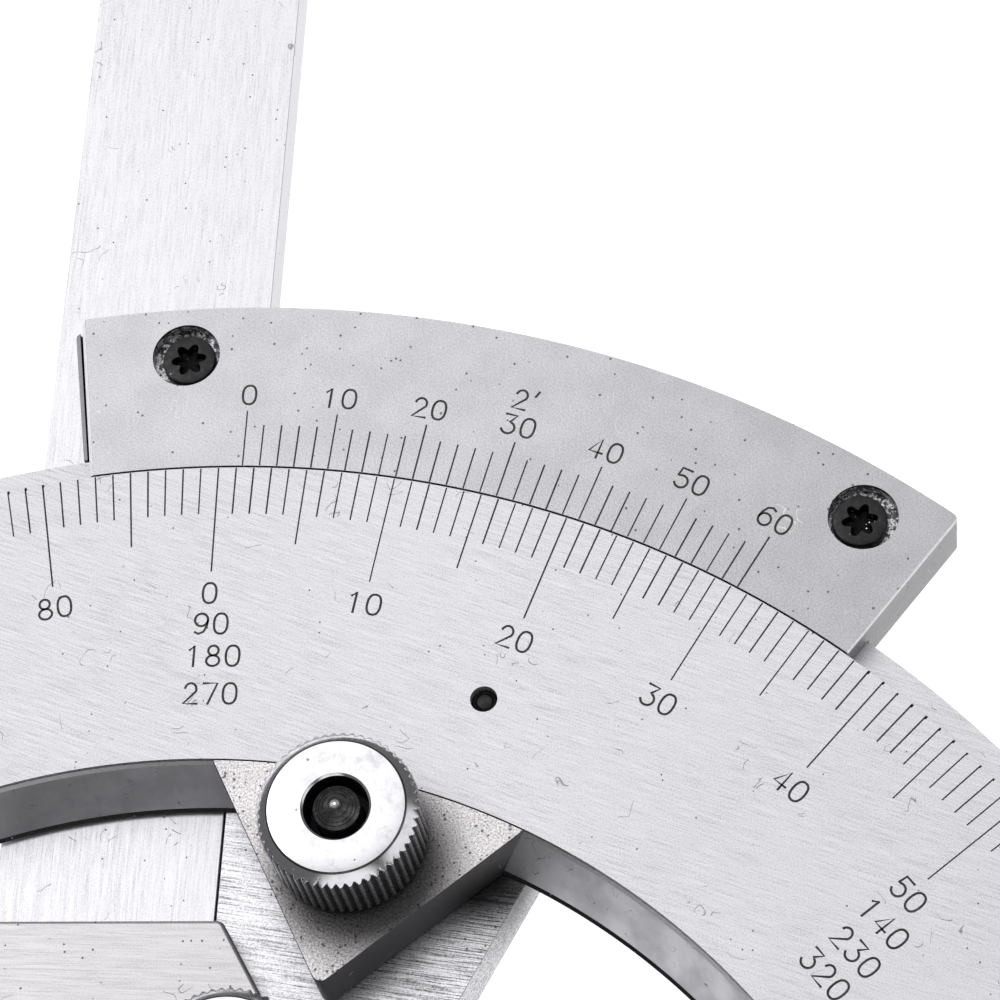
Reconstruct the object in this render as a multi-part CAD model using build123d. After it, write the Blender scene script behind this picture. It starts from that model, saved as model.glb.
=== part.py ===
from build123d import *
import os
from math import acos, cos, pi, radians, sin, tan

# Universal bevel protractor with a 2-minute vernier, a square and a straight ruler.
# Millimetres. The origin is the centre of the graduated arc, which is also the vertex of
# the measured angle. +Y runs to the main scale's zero line, +X along the base ruler's
# measuring edge and +Z out of the graduated face, which lies at z = 0.
# Angles are in degrees, clockwise from +Y when seen from the front.
# Parts carried by the swinging sector are drawn at reading zero and then turned to READING.

# Setting at rest: one degree and twenty minutes
READING = 1 + 20 / 60

# Main scale plate
SCALE_R = 75.0             # graduated edge
PLATE_T = 4.4
INNER_TOP_R = 52.3         # bevelled inner wall, at the face
INNER_CHAMFER_R = 51.95
INNER_CHAMFER_T = 0.5
INNER_BOTTOM_R = 50.0
STRIP_R = 77.27            # step outside the graduated edge, under the vernier
STRIP_DROP = 2.0
SCALE_START = -50.0
GEAR_RECESS_R = (57.0, 71.0)
GEAR_RECESS_SPAN = (-30.0, 70.0)
WEB_T = 2.4                # what the gear recess leaves of the plate, at the front
FLAT_GAP = 0.1             # between flat faces that slide on each other
PAST = 1.0                 # how far a cut runs past the face it opens

# Base ruler: a bar on the +X side, its measuring edge on the X axis
EDGE_GAP = 0.05            # each measuring edge stands this far from the vertex line
BASE_WIDTH = 11.0
BASE_TIP = (12.0, 3.0)     # blunt inner tip
BASE_FULL_X = 46.0         # full width starts here
BASE_STEP_X = 73.8         # past this the vernier swings over the narrow end
BASE_NARROW = 4.4
BASE_END_X = 98.0
BASE_TAB_X = (51.0, 72.5)  # tab of the scale plate that the ruler laps
BASE_TAB_Y = 3.0
BASE_TAB_T = 2.2
BASE_SCREW_X = (54.5, 61.75, 69.0)
BASE_SCREW_Y = 7.0
BASE_SCREW_R = 1.0
BASE_SCREW_HEAD_R = 2.0
BASE_SCREW_HEAD_H = 1.0
BASE_SCREW_SINK = 0.05     # the countersunk heads end this far below the face
BASE_SCREW_SLOT = (0.5, 0.45)
SCALE_END = 89.0           # before the right end is cut to the tab

# Gear train of the fine adjustment
MODULE = 0.5
GEAR_TEETH = 252           # of the full circle that the toothed sector is cut from
PINION_TEETH = 14
GEAR_ADDENDUM = 0.38
PINION_ADDENDUM = 0.45
DEDENDUM = 0.62
PRESSURE = 20.0
BACKLASH = 0.05            # taken off each tooth's thickness
FLANK_STEPS = 4
GEAR_SECTOR_TEETH = 68     # teeth left on the toothed sector
GEAR_INNER_R = 57.15
GEAR_Z = (-4.3, -2.4)
PINION_ANGLE = 14.5        # on the sector plate
PINION_Z = (-4.25, -2.65)
GEAR_SCREW_R = 60.0
GEAR_SCREW_ANGLES = (-20.36, 19.64, 59.64)
GEAR_SCREW_SHANK_R = 0.95
GEAR_HOLE_R = 1.0
GEAR_SCREW_TOP = -0.35     # screw ends stay this far below the graduated face
GEAR_SCREW_HEAD = (1.75, 0.7)
GEAR_SINK = (1.9, 0.8)     # countersink in the toothed sector: radius and depth

# Sector plate, behind the scale
SECTOR_Z = (-9.3, -(PLATE_T + FLAT_GAP))
SECTOR_R = 86.6
SECTOR_INNER_ANGLE = 26.15
SECTOR_OUTER_ANGLE = 34.4
SECTOR_FLARE_R = (53.5, 60.0)
SECTOR_FOOT_Y = 18.0
LEDGE_X = -15.5            # ledge behind the square's long arm
LEDGE_TOP_Y = 82.0
LEDGE_TOP = -8.15
PLATE_CHAMFER = 0.4
STUD_FLOOR = 0.8           # what is left of a plate behind a stud
SHOULDER_X = 0.2

# Vernier and its spacer
VERNIER_R = (75.15, 88.15)
VERNIER_SPAN = (-8.65, 36.15)
VERNIER_T = 1.9
VERNIER_CHAMFER = 0.2
VERNIER_CORNER_R = 0.5       # rounding of the two outer corners, seen from above
SPACER_R = (77.42, 88.1)
SPACER_SPAN = (-9.2, 36.15)
VERNIER_SCREW_R = 84.33
VERNIER_SCREW_ANGLES = (-3.4, 32.4)
VERNIER_BORE = (2.5, 1.25)  # counterbore radius and depth
SPACER_SCREW_CIRCLE_R = 82.4
SPACER_SCREW_ANGLES = (5.0, 18.0, 31.0)
VERNIER_SCREW_HEAD = (2.05, 0.95)
VERNIER_SCREW_SHANK_R = 1.0
VERNIER_SCREW_HOLE_R = 1.15
STAR_RECESS = (2.3, 0.5, 0.6)    # six-lobed: size across two lobes, width of a lobe and depth
STAR_TURNS = (10.0, 70.0, 130.0)
SPACER_SCREW_HEAD = (2.15, 1.8)
SPACER_SCREW_R = 1.25
SPACER_SCREW_HOLE = (1.3, 2.3, 2.2)  # hole radius, counterbore radius and depth
SPACER_SCREW_SLOT = (0.6, 0.6)

# Square and straight ruler
BLADE_WIDTH = 16.0
BLADE_T = 3.3
SQUARE_TOP = -4.75
SQUARE_ARM_Y = 142.0
SQUARE_LEG_X = 62.0
SQUARE_RELIEF_R = 1.1
RULER_GAP = 0.1
RULER_X = (-48.4, 101.6)
RULER_SLANT = 9.2          # how far the ruler's left end slopes

# Studs and knurled nuts
STUD_R = 1.65
NUT_BORE_R = 1.72
NUT_R = 5.72
NUT_TOP_R = 4.92
NUT_NECK_R = 5.3
NUT_H = 6.1
NUT_KNURL_H = 5.35
NUT_FOOT_H = 0.5
NUT_POCKET = (2.48, 2.9)   # pocket round the stud end: radius and depth
STUD_PAST_TOP = 0.6        # rounded stud end past the nut's top face
NUT_GAP = 0.1
STUD_ROUND = 0.9
STUD_CLEARANCE = 0.3       # of the hole in a loose plate round its stud

# Brake
BRAKE_CORNERS = ((-0.2, 52.1), (22.45, 47.3), (8.6, 35.6))
BRAKE_TOP_R = 52.1
BRAKE_BOTTOM_R = 49.85
BRAKE_STUD = (10.04, 46.45)
CORNER_R = 0.7
TOP_CHAMFER = 0.2

# Clamp of the square. Its block sits slightly turned on its stud.
CLAMP_STUD = (3.38, 28.64)
CLAMP_TURN = 1.2
CLAMP_OUTLINE = ((-20.2, 12.4), (-2.0, 12.4), (5.0, 0.1), (-0.2, -8.6), (-20.2, -8.6))
CLAMP_Z = (-4.35, -2.0)
CLAMP_PAD_Z = -4.7
CLAMP_PAD_X = -3.9

# Clamp of the straight ruler, on the square's short leg
RULER_CLAMP_X = (10.0, 34.0)
RULER_CLAMP_WALL_Y = (-22.6, -16.2)
RULER_CLAMP_BACK = (-9.6, -8.1)
RULER_CLAMP_BACK_Y = -2.0
RULER_CLAMP_WALL_TOP = -1.6
RULER_BLOCK_Z = (-1.25, 0.95)
RULER_BLOCK_PAD_Z = -1.3
RULER_BLOCK_Y = -3.0
RULER_STUD = (22.0, -19.4)
RULER_FRAME_ROUND = 2.0
RULER_BLOCK_BEVEL = 6.0
RULER_PAD_INSET = 3.0      # the block's pad ends this far inside its sides
RULER_PAD_Y = (-15.0, -5.0)

# Adjusting knob on the back
SHAFT_R = 1.5
BUSH_R = 3.0
BUSH_FLANGE = (4.5, 1.0)
KNOB_R = 6.5
KNOB_Z = (-16.4, -10.45)
KNOB_CHAMFER = 0.6
KNOB_SCREW_HEAD = (2.2, 0.9)
KNOB_SCREW_R = 0.8
KNOB_SCREW_DEPTH = 3.8     # screw end, in from the knob's outer face
KNOB_SCREW_SEAT = 1.3      # depth of the counterbore that the head sits in
KNOB_SCREW_SINK = 0.4
KNOB_SCREW_SLOT = (0.5, 0.4)
SHAFT_END = 1.6            # shaft end, in from the knob's outer face
SHAFT_BORE_DEPTH = 4.0
SHAFT_CLEARANCE = 0.05
BUSH_SINK = 0.2            # the bush stops this far below the sector plate's face

SCREW_GAP = 0.02           # between a screw and the hole it is tightened in


def polar(radius, angle):
    """Point at an angle clockwise from +Y."""
    return radius * sin(radians(angle)), radius * cos(radians(angle))


def arc(radius, start, end):
    """Arc about the origin between two clockwise angles."""
    return CenterArc((0, 0), radius, 90 - end, end - start)


def ring_face(radii, span):
    inner, outer = (arc(radius, *span) for radius in radii)
    return make_face([inner, outer, Line(inner @ 0, outer @ 0), Line(inner @ 1, outer @ 1)])


def ring_solid(profile, span):
    """Turns a closed outline of (radius, z) points about the Z axis."""
    face = make_face(Plane.XZ * Polyline(*profile, close=True))
    turned = revolve(face, axis=Axis.Z, revolution_arc=span[1] - span[0])
    return Rot(0, 0, 90 - span[1]) * turned


def slab(face, heights):
    """A flat face made solid between two heights."""
    return extrude(Pos(0, 0, heights[0]) * face, amount=heights[1] - heights[0])


def block(x, y, z):
    """A box from its lowest and highest coordinates."""
    size = [high - low for low, high in (x, y, z)]
    return Pos(*(sum(pair) / 2 for pair in (x, y, z))) * Box(*size)


def rod(place, radius, heights):
    low, high = heights
    return Pos(place[0], place[1], (low + high) / 2) * Cylinder(radius, high - low)


def slot(place, width, heights):
    """Cutter for a screwdriver slot along X, longer than any screw head here."""
    x, y = place
    reach = 3.0
    return block((x - reach, x + reach), (y - width / 2, y + width / 2), heights)


def outline(points):
    return make_face(Polyline(*points, close=True))


def upright_edges(solid):
    return solid.edges().filter_by(Axis.Z)


def at_reading(shape):
    """Turns a part drawn at reading zero to the setting at rest."""
    return Rot(0, 0, -READING) * shape


def gear_face(teeth, addendum, first, count, inner_r):
    """Involute teeth about the origin, the first one centred at an angle clockwise from +Y.

    A full gear is closed on itself. A toothed sector ends on the radius inner_r.
    """
    pitch_r = MODULE * teeth / 2
    base_r = pitch_r * cos(radians(PRESSURE))
    root_r = pitch_r - DEDENDUM
    tip_r = pitch_r + addendum
    start_r = max(base_r, root_r)
    half_at_pitch = pi / (2 * teeth) - BACKLASH / (2 * pitch_r)

    def involute(radius):
        slope = acos(min(1.0, base_r / radius))
        return tan(slope) - slope

    def half_width(radius):
        return (half_at_pitch + involute(pitch_r) - involute(radius)) * 180 / pi

    radii = [start_r + (tip_r - start_r) * step / FLANK_STEPS for step in range(FLANK_STEPS + 1)]
    if root_r < base_r:
        radii.insert(0, root_r)
    points = []
    for tooth in range(count):
        centre = first + tooth * 360 / teeth
        points += [polar(radius, centre - half_width(max(radius, start_r))) for radius in radii]
        points += [polar(radius, centre + half_width(max(radius, start_r))) for radius in radii[::-1]]
    if count == teeth:
        return outline(points)
    last = first + (count - 1) * 360 / teeth
    margin = 180 / teeth
    back = arc(inner_r, first - margin, last + margin)
    flanks = Polyline(polar(root_r, first - margin), *points, polar(root_r, last + margin))
    return make_face([flanks, Line(flanks @ 0, back @ 1), back, Line(back @ 0, flanks @ 1)])


# ---------------------------------------------------------------- main scale and base ruler

def make_main_scale():
    profile = [
        (INNER_TOP_R, 0), (SCALE_R, 0), (SCALE_R, -STRIP_DROP), (STRIP_R, -STRIP_DROP),
        (STRIP_R, -PLATE_T), (INNER_BOTTOM_R, -PLATE_T), (INNER_CHAMFER_R, -INNER_CHAMFER_T),
    ]
    body = ring_solid(profile, (SCALE_START, SCALE_END))
    through = (-PLATE_T - PAST, PAST)
    far_x = STRIP_R + PAST
    body -= block((0, far_x), (-PAST, BASE_WIDTH), (-BASE_TAB_T, PAST))
    for side in ((0, BASE_TAB_X[0]), (BASE_TAB_X[1], far_x)):
        body -= block(side, (-PAST, BASE_WIDTH), through)
    body -= block((0, far_x), (-PAST, BASE_TAB_Y), through)
    body -= slab(ring_face(GEAR_RECESS_R, GEAR_RECESS_SPAN), (-PLATE_T - PAST, -WEB_T))
    for angle in GEAR_SCREW_ANGLES:
        body -= rod(polar(GEAR_SCREW_R, angle), GEAR_SCREW_SHANK_R + SCREW_GAP, (-WEB_T - PAST, PAST))
    for x in BASE_SCREW_X:
        body -= rod((x, BASE_SCREW_Y), BASE_SCREW_R, (-PLATE_T - PAST, 0))
    return body


def make_base_ruler():
    points = [
        (BASE_TIP[0], EDGE_GAP), (BASE_END_X, EDGE_GAP), (BASE_END_X - BASE_NARROW, BASE_NARROW),
        (BASE_STEP_X, BASE_NARROW), (BASE_STEP_X, BASE_WIDTH), (BASE_FULL_X, BASE_WIDTH), BASE_TIP,
    ]
    body = slab(outline(points), (-PLATE_T, 0))
    body -= block(BASE_TAB_X, (BASE_TAB_Y, BASE_WIDTH + PAST), (-PLATE_T - PAST, -BASE_TAB_T))
    wider = 0.1
    for x in BASE_SCREW_X:
        body -= rod((x, BASE_SCREW_Y), BASE_SCREW_R + wider, (-PLATE_T, PAST))
        sink = Cone(BASE_SCREW_R + wider, BASE_SCREW_HEAD_R + wider, BASE_SCREW_HEAD_H + 2 * SCREW_GAP)
        body -= Pos(x, BASE_SCREW_Y, -BASE_SCREW_HEAD_H / 2) * sink
    return body


def make_base_ruler_screws():
    screws = []
    for x in BASE_SCREW_X:
        middle = -BASE_SCREW_SINK - BASE_SCREW_HEAD_H / 2
        screw = Pos(x, BASE_SCREW_Y, middle) * Cone(BASE_SCREW_R, BASE_SCREW_HEAD_R, BASE_SCREW_HEAD_H)
        screw += rod((x, BASE_SCREW_Y), BASE_SCREW_R - SCREW_GAP, (-PLATE_T + FLAT_GAP, middle))
        screw -= slot((x, BASE_SCREW_Y), BASE_SCREW_SLOT[0], (-BASE_SCREW_SINK - BASE_SCREW_SLOT[1], PAST))
        screws.append(screw)
    return screws


# ---------------------------------------------------------------- fine adjustment

def gear_first_tooth():
    """The toothed sector has a tooth on the line of centres at rest."""
    pitch = 360 / GEAR_TEETH
    lead = (PINION_ANGLE + READING - GEAR_RECESS_SPAN[0]) // pitch
    return PINION_ANGLE + READING - (lead - 1) * pitch


def make_sector_gear():
    body = slab(gear_face(GEAR_TEETH, GEAR_ADDENDUM, gear_first_tooth(), GEAR_SECTOR_TEETH, GEAR_INNER_R),
                GEAR_Z)
    for angle in GEAR_SCREW_ANGLES:
        centre = polar(GEAR_SCREW_R, angle)
        body -= rod(centre, GEAR_HOLE_R + SCREW_GAP, (-PLATE_T - PAST, 0))
        body -= Pos(*centre, GEAR_Z[0] + GEAR_SINK[1] / 2) * Cone(GEAR_SINK[0], GEAR_HOLE_R, GEAR_SINK[1])
    return body


def make_sector_gear_screws():
    screws = []
    for angle in GEAR_SCREW_ANGLES:
        centre = polar(GEAR_SCREW_R, angle)
        head_r, head_h = GEAR_SCREW_HEAD
        middle = GEAR_Z[0] + 2 * SCREW_GAP + GEAR_SINK[1] / 2
        screw = rod(centre, GEAR_SCREW_SHANK_R, (middle, GEAR_SCREW_TOP))
        screw += Pos(*centre, middle) * Cone(head_r, GEAR_SCREW_SHANK_R, head_h)
        screws.append(screw)
    return screws


def pinion_centre():
    return polar(MODULE * (GEAR_TEETH + PINION_TEETH) / 2, PINION_ANGLE)


def make_pinion():
    """A gap between two teeth faces the arc's centre."""
    half_pitch = 180 / PINION_TEETH
    first = PINION_ANGLE + 180 + half_pitch
    face = gear_face(PINION_TEETH, PINION_ADDENDUM, first, PINION_TEETH, 0)
    body = Pos(*pinion_centre()) * slab(face, PINION_Z)
    return at_reading(body - rod(pinion_centre(), SHAFT_R, PINION_Z))


def make_pinion_shaft():
    body = rod(pinion_centre(), SHAFT_R - SCREW_GAP, (KNOB_Z[0] + SHAFT_END, PINION_Z[1]))
    body -= rod(pinion_centre(), KNOB_SCREW_R + SCREW_GAP, (KNOB_Z[0], KNOB_Z[0] + SHAFT_BORE_DEPTH))
    return at_reading(body)


def make_pinion_bush():
    bottom, top = SECTOR_Z
    body = rod(pinion_centre(), BUSH_R - SCREW_GAP, (bottom, top - BUSH_SINK))
    body += rod(pinion_centre(), BUSH_FLANGE[0], (bottom - BUSH_FLANGE[1], bottom))
    body -= rod(pinion_centre(), SHAFT_R + SHAFT_CLEARANCE, (bottom - BUSH_FLANGE[1], top))
    return at_reading(body)


def make_adjusting_knob():
    low, high = KNOB_Z
    body = rod(pinion_centre(), KNOB_R, (low, high))
    rims = body.edges().filter_by(GeomType.CIRCLE)
    body = chamfer(rims, KNOB_CHAMFER)
    body -= rod(pinion_centre(), SHAFT_R, (low, high))
    body -= rod(pinion_centre(), KNOB_SCREW_HEAD[0] + 0.3, (low, low + KNOB_SCREW_SEAT))
    return at_reading(body)


def make_knob_screw():
    low = KNOB_Z[0] + KNOB_SCREW_SINK
    head_top = low + KNOB_SCREW_HEAD[1]
    body = rod(pinion_centre(), KNOB_SCREW_HEAD[0], (low, head_top))
    body += rod(pinion_centre(), KNOB_SCREW_R, (head_top, KNOB_Z[0] + KNOB_SCREW_DEPTH))
    body -= slot(pinion_centre(), KNOB_SCREW_SLOT[0], (low - PAST, low + KNOB_SCREW_SLOT[1]))
    return at_reading(body)


# ---------------------------------------------------------------- sector plate and vernier

def make_sector_plate():
    foot_x = SECTOR_FOOT_Y * tan(radians(SECTOR_INNER_ANGLE))
    shoulder_top = (SHOULDER_X, (SECTOR_R ** 2 - SHOULDER_X ** 2) ** 0.5)
    outer = ThreePointArc(shoulder_top, polar(SECTOR_R, SECTOR_OUTER_ANGLE / 2),
                          polar(SECTOR_R, SECTOR_OUTER_ANGLE))
    rest = Polyline(outer @ 1, polar(SECTOR_FLARE_R[1], SECTOR_OUTER_ANGLE),
                    polar(SECTOR_FLARE_R[0], SECTOR_INNER_ANGLE), (foot_x, SECTOR_FOOT_Y),
                    (SHOULDER_X, SECTOR_FOOT_Y), outer @ 0)
    body = slab(make_face([outer, rest]), SECTOR_Z)
    body += block((LEDGE_X, SHOULDER_X + PAST), (SECTOR_FOOT_Y, LEDGE_TOP_Y), (SECTOR_Z[0], LEDGE_TOP))
    body = chamfer(body.faces().sort_by(Axis.Z)[0].outer_wire().edges(), PLATE_CHAMFER)
    for centre in (BRAKE_STUD, CLAMP_STUD):
        body -= rod(centre, STUD_R, (SECTOR_Z[0] + STUD_FLOOR, 0))
    body -= rod(pinion_centre(), BUSH_R, (SECTOR_Z[0] - PAST, 0))
    hole_r, sink_r, sink_depth = SPACER_SCREW_HOLE
    for angle in SPACER_SCREW_ANGLES:
        centre = polar(SPACER_SCREW_CIRCLE_R, angle)
        body -= rod(centre, hole_r, (SECTOR_Z[0] - PAST, 0))
        body -= rod(centre, sink_r, (SECTOR_Z[0] - PAST, SECTOR_Z[0] + sink_depth))
    return at_reading(body)


def round_outer_corners(body):
    outer = upright_edges(body).sort_by(lambda edge: edge.center().X ** 2 + edge.center().Y ** 2)[-2:]
    return fillet(outer, VERNIER_CORNER_R)


def make_vernier_spacer():
    body = round_outer_corners(slab(ring_face(SPACER_R, SPACER_SPAN), (SECTOR_Z[1], -VERNIER_T)))
    for angle in VERNIER_SCREW_ANGLES:
        body -= rod(polar(VERNIER_SCREW_R, angle), VERNIER_SCREW_SHANK_R, (SECTOR_Z[1], 0))
    for angle in SPACER_SCREW_ANGLES:
        body -= rod(polar(SPACER_SCREW_CIRCLE_R, angle), SPACER_SCREW_R, (SECTOR_Z[1], -VERNIER_T - 0.5))
    return at_reading(body)


def make_vernier_plate():
    body = round_outer_corners(slab(ring_face(VERNIER_R, VERNIER_SPAN), (-VERNIER_T, 0)))
    top = body.faces().sort_by(Axis.Z)[-1]
    body = chamfer(top.edges().filter_by(GeomType.LINE), VERNIER_CHAMFER)
    radius, depth = VERNIER_BORE
    for angle in VERNIER_SCREW_ANGLES:
        centre = polar(VERNIER_SCREW_R, angle)
        body -= rod(centre, radius, (-depth, PAST))
        body -= rod(centre, VERNIER_SCREW_HOLE_R, (-VERNIER_T - PAST, 0))
    return at_reading(body)


def make_vernier_screws():
    """Pan heads sunk in the counterbores, with a six-lobed recess."""
    floor = -VERNIER_BORE[1]
    screws = []
    for angle in VERNIER_SCREW_ANGLES:
        centre = polar(VERNIER_SCREW_R, angle)
        head_r, head_h = VERNIER_SCREW_HEAD
        length, width, recess_depth = STAR_RECESS
        head = rod(centre, head_r, (floor, floor + head_h))
        screw = head + rod(centre, VERNIER_SCREW_SHANK_R - SCREW_GAP, (SECTOR_Z[1] + 2 * FLAT_GAP, floor))
        for turn in STAR_TURNS:
            lobes = Box(length, width, 2 * recess_depth)
            screw -= Pos(*centre, floor + head_h) * Rot(0, 0, turn) * lobes
        screws.append(at_reading(screw))
    return screws


def make_spacer_screws():
    """Cheese-head screws from the back, through the sector plate into the spacer."""
    seat = SECTOR_Z[0] + SPACER_SCREW_HOLE[2]
    head_r, head_h = SPACER_SCREW_HEAD
    width, depth = SPACER_SCREW_SLOT
    screws = []
    for angle in SPACER_SCREW_ANGLES:
        centre = polar(SPACER_SCREW_CIRCLE_R, angle)
        screw = rod(centre, head_r, (seat - head_h, seat))
        screw += rod(centre, SPACER_SCREW_R - SCREW_GAP, (seat, -VERNIER_T - 0.7))
        screw -= slot(centre, width, (SECTOR_Z[0], seat - head_h + depth))
        screws.append(at_reading(screw))
    return screws


# ---------------------------------------------------------------- studs, nuts and clamps

def stud(place, foot, seat):
    """Threaded stud with a rounded end, for a nut that stands on the height seat."""
    top = seat + NUT_GAP + NUT_H + STUD_PAST_TOP
    body = rod(place, STUD_R - SCREW_GAP, (foot, top))
    return at_reading(fillet(body.edges().sort_by(Axis.Z)[-1], STUD_ROUND))


def knurled_nut(place, seat):
    """Round nut: narrow foot, knurled rim, sloping shoulder and a pocket in its top."""
    low = seat + NUT_GAP
    high = low + NUT_H
    pocket_r, pocket_depth = NUT_POCKET
    profile = [
        (NUT_BORE_R, low), (NUT_NECK_R, low), (NUT_R, low + NUT_FOOT_H),
        (NUT_R, low + NUT_KNURL_H), (NUT_TOP_R, high), (pocket_r, high),
        (pocket_r, high - pocket_depth), (NUT_BORE_R, high - pocket_depth),
    ]
    face = make_face(Plane.XZ * Polyline(*profile, close=True))
    return at_reading(Pos(*place, 0) * revolve(face, axis=Axis.Z))


def make_brake_plate():
    """Wedge plate whose curved edge bears on the bevelled inner wall of the scale."""
    left, right, foot = BRAKE_CORNERS
    reach = 1.2
    grown = [(left[0], left[1] * reach), (right[0] * reach, right[1] * reach), right, foot, left]
    blank = fillet(upright_edges(slab(outline(grown), (-PLATE_T, 0))).group_by(Axis.Y)[0], CORNER_R)
    cone = ring_solid([(0, 0), (BRAKE_TOP_R, 0), (BRAKE_BOTTOM_R, -PLATE_T), (0, -PLATE_T)],
                      (-5.0, 60.0))
    body = blank & cone
    return at_reading(body - rod(BRAKE_STUD, STUD_R + STUD_CLEARANCE, (-PLATE_T, 0)))


def make_clamp_block():
    body = slab(outline(CLAMP_OUTLINE), CLAMP_Z)
    body = fillet(upright_edges(body), CORNER_R)
    body = chamfer(body.faces().sort_by(Axis.Z)[-1].outer_wire().edges(), TOP_CHAMFER)
    left = CLAMP_OUTLINE[0][0]
    low, high = CLAMP_OUTLINE[-1][1], CLAMP_OUTLINE[0][1]
    inset = 1.0
    body += block((left + inset, CLAMP_PAD_X), (low + inset, high - inset), (CLAMP_PAD_Z, CLAMP_Z[0]))
    body = Pos(*CLAMP_STUD, 0) * Rot(0, 0, CLAMP_TURN) * body
    return at_reading(body - rod(CLAMP_STUD, STUD_R + STUD_CLEARANCE, (-6, 0)))


def make_square():
    """Long arm up the sector's left side and short leg to the right, in one piece."""
    heights = (SQUARE_TOP - BLADE_T, SQUARE_TOP)
    body = block((-BLADE_WIDTH, 0), (-BLADE_WIDTH, SQUARE_ARM_Y), heights)
    body += block((-BLADE_WIDTH, SQUARE_LEG_X), (-BLADE_WIDTH, 0), heights)
    body -= rod((0, 0), SQUARE_RELIEF_R, heights)
    return at_reading(body)


def make_straight_ruler():
    low = SQUARE_TOP + RULER_GAP
    left, right = RULER_X
    points = [(left, -EDGE_GAP), (right, -EDGE_GAP), (right, -EDGE_GAP - BLADE_WIDTH),
              (left + RULER_SLANT, -EDGE_GAP - BLADE_WIDTH)]
    return at_reading(slab(outline(points), (low, low + BLADE_T)))


def make_ruler_clamp_frame():
    """Back plate and wall that hook round the square's short leg."""
    body = block(RULER_CLAMP_X, (RULER_CLAMP_WALL_Y[0], RULER_CLAMP_BACK_Y), RULER_CLAMP_BACK)
    body += block(RULER_CLAMP_X, RULER_CLAMP_WALL_Y, (RULER_CLAMP_BACK[0], RULER_CLAMP_WALL_TOP))
    body = fillet(upright_edges(body).group_by(Axis.Y)[0], RULER_FRAME_ROUND)
    return at_reading(body - rod(RULER_STUD, STUD_R, (RULER_CLAMP_BACK[0] + STUD_FLOOR, 0)))


def make_ruler_clamp_block():
    heights = RULER_BLOCK_Z
    left, right = RULER_CLAMP_X
    low = RULER_CLAMP_WALL_Y[0]
    top, shoulder = RULER_BLOCK_Y, RULER_BLOCK_Y - RULER_BLOCK_BEVEL
    points = [(left, low), (right, low), (right, shoulder), (right - RULER_BLOCK_BEVEL, top),
              (left + RULER_BLOCK_BEVEL, top), (left, shoulder)]
    body = fillet(upright_edges(slab(outline(points), heights)), CORNER_R)
    body = chamfer(body.faces().sort_by(Axis.Z)[-1].outer_wire().edges(), TOP_CHAMFER)
    pad_x = (left + RULER_PAD_INSET, right - RULER_PAD_INSET)
    body += block(pad_x, RULER_PAD_Y, (RULER_BLOCK_PAD_Z, heights[0]))
    return at_reading(body - rod(RULER_STUD, STUD_R + STUD_CLEARANCE, (-2, 2)))


def write(name, shape):
    solids = shape if isinstance(shape, list) else [shape]
    export_step(Compound(children=[solid for item in solids for solid in item.solids()]),
                f"parts/{name}.step")


os.makedirs("parts", exist_ok=True)

write("main_scale", make_main_scale())
write("base_ruler", make_base_ruler())
write("base_ruler_screws", make_base_ruler_screws())
write("sector_gear", make_sector_gear())
write("sector_gear_screws", make_sector_gear_screws())
write("sector_plate", make_sector_plate())
write("vernier_spacer", make_vernier_spacer())
write("vernier_plate", make_vernier_plate())
write("vernier_screws", make_vernier_screws())
write("spacer_screws", make_spacer_screws())
write("brake_plate", make_brake_plate())
write("brake_stud", stud(BRAKE_STUD, SECTOR_Z[0] + STUD_FLOOR, 0.0))
write("brake_nut", knurled_nut(BRAKE_STUD, 0.0))
write("pinion", make_pinion())
write("pinion_shaft", make_pinion_shaft())
write("pinion_bush", make_pinion_bush())
write("adjusting_knob", make_adjusting_knob())
write("knob_screw", make_knob_screw())
write("square", make_square())
write("clamp_block", make_clamp_block())
write("clamp_stud", stud(CLAMP_STUD, SECTOR_Z[0] + STUD_FLOOR, CLAMP_Z[1]))
write("clamp_nut", knurled_nut(CLAMP_STUD, CLAMP_Z[1]))
write("straight_ruler", make_straight_ruler())
write("ruler_clamp_frame", make_ruler_clamp_frame())
write("ruler_clamp_block", make_ruler_clamp_block())
write("ruler_clamp_stud", stud(RULER_STUD, RULER_CLAMP_BACK[0] + STUD_FLOOR, RULER_BLOCK_Z[1]))
write("ruler_clamp_nut", knurled_nut(RULER_STUD, RULER_BLOCK_Z[1]))
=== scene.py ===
import math
import random

import bmesh
import bpy
from mathutils import Matrix, Vector


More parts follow.
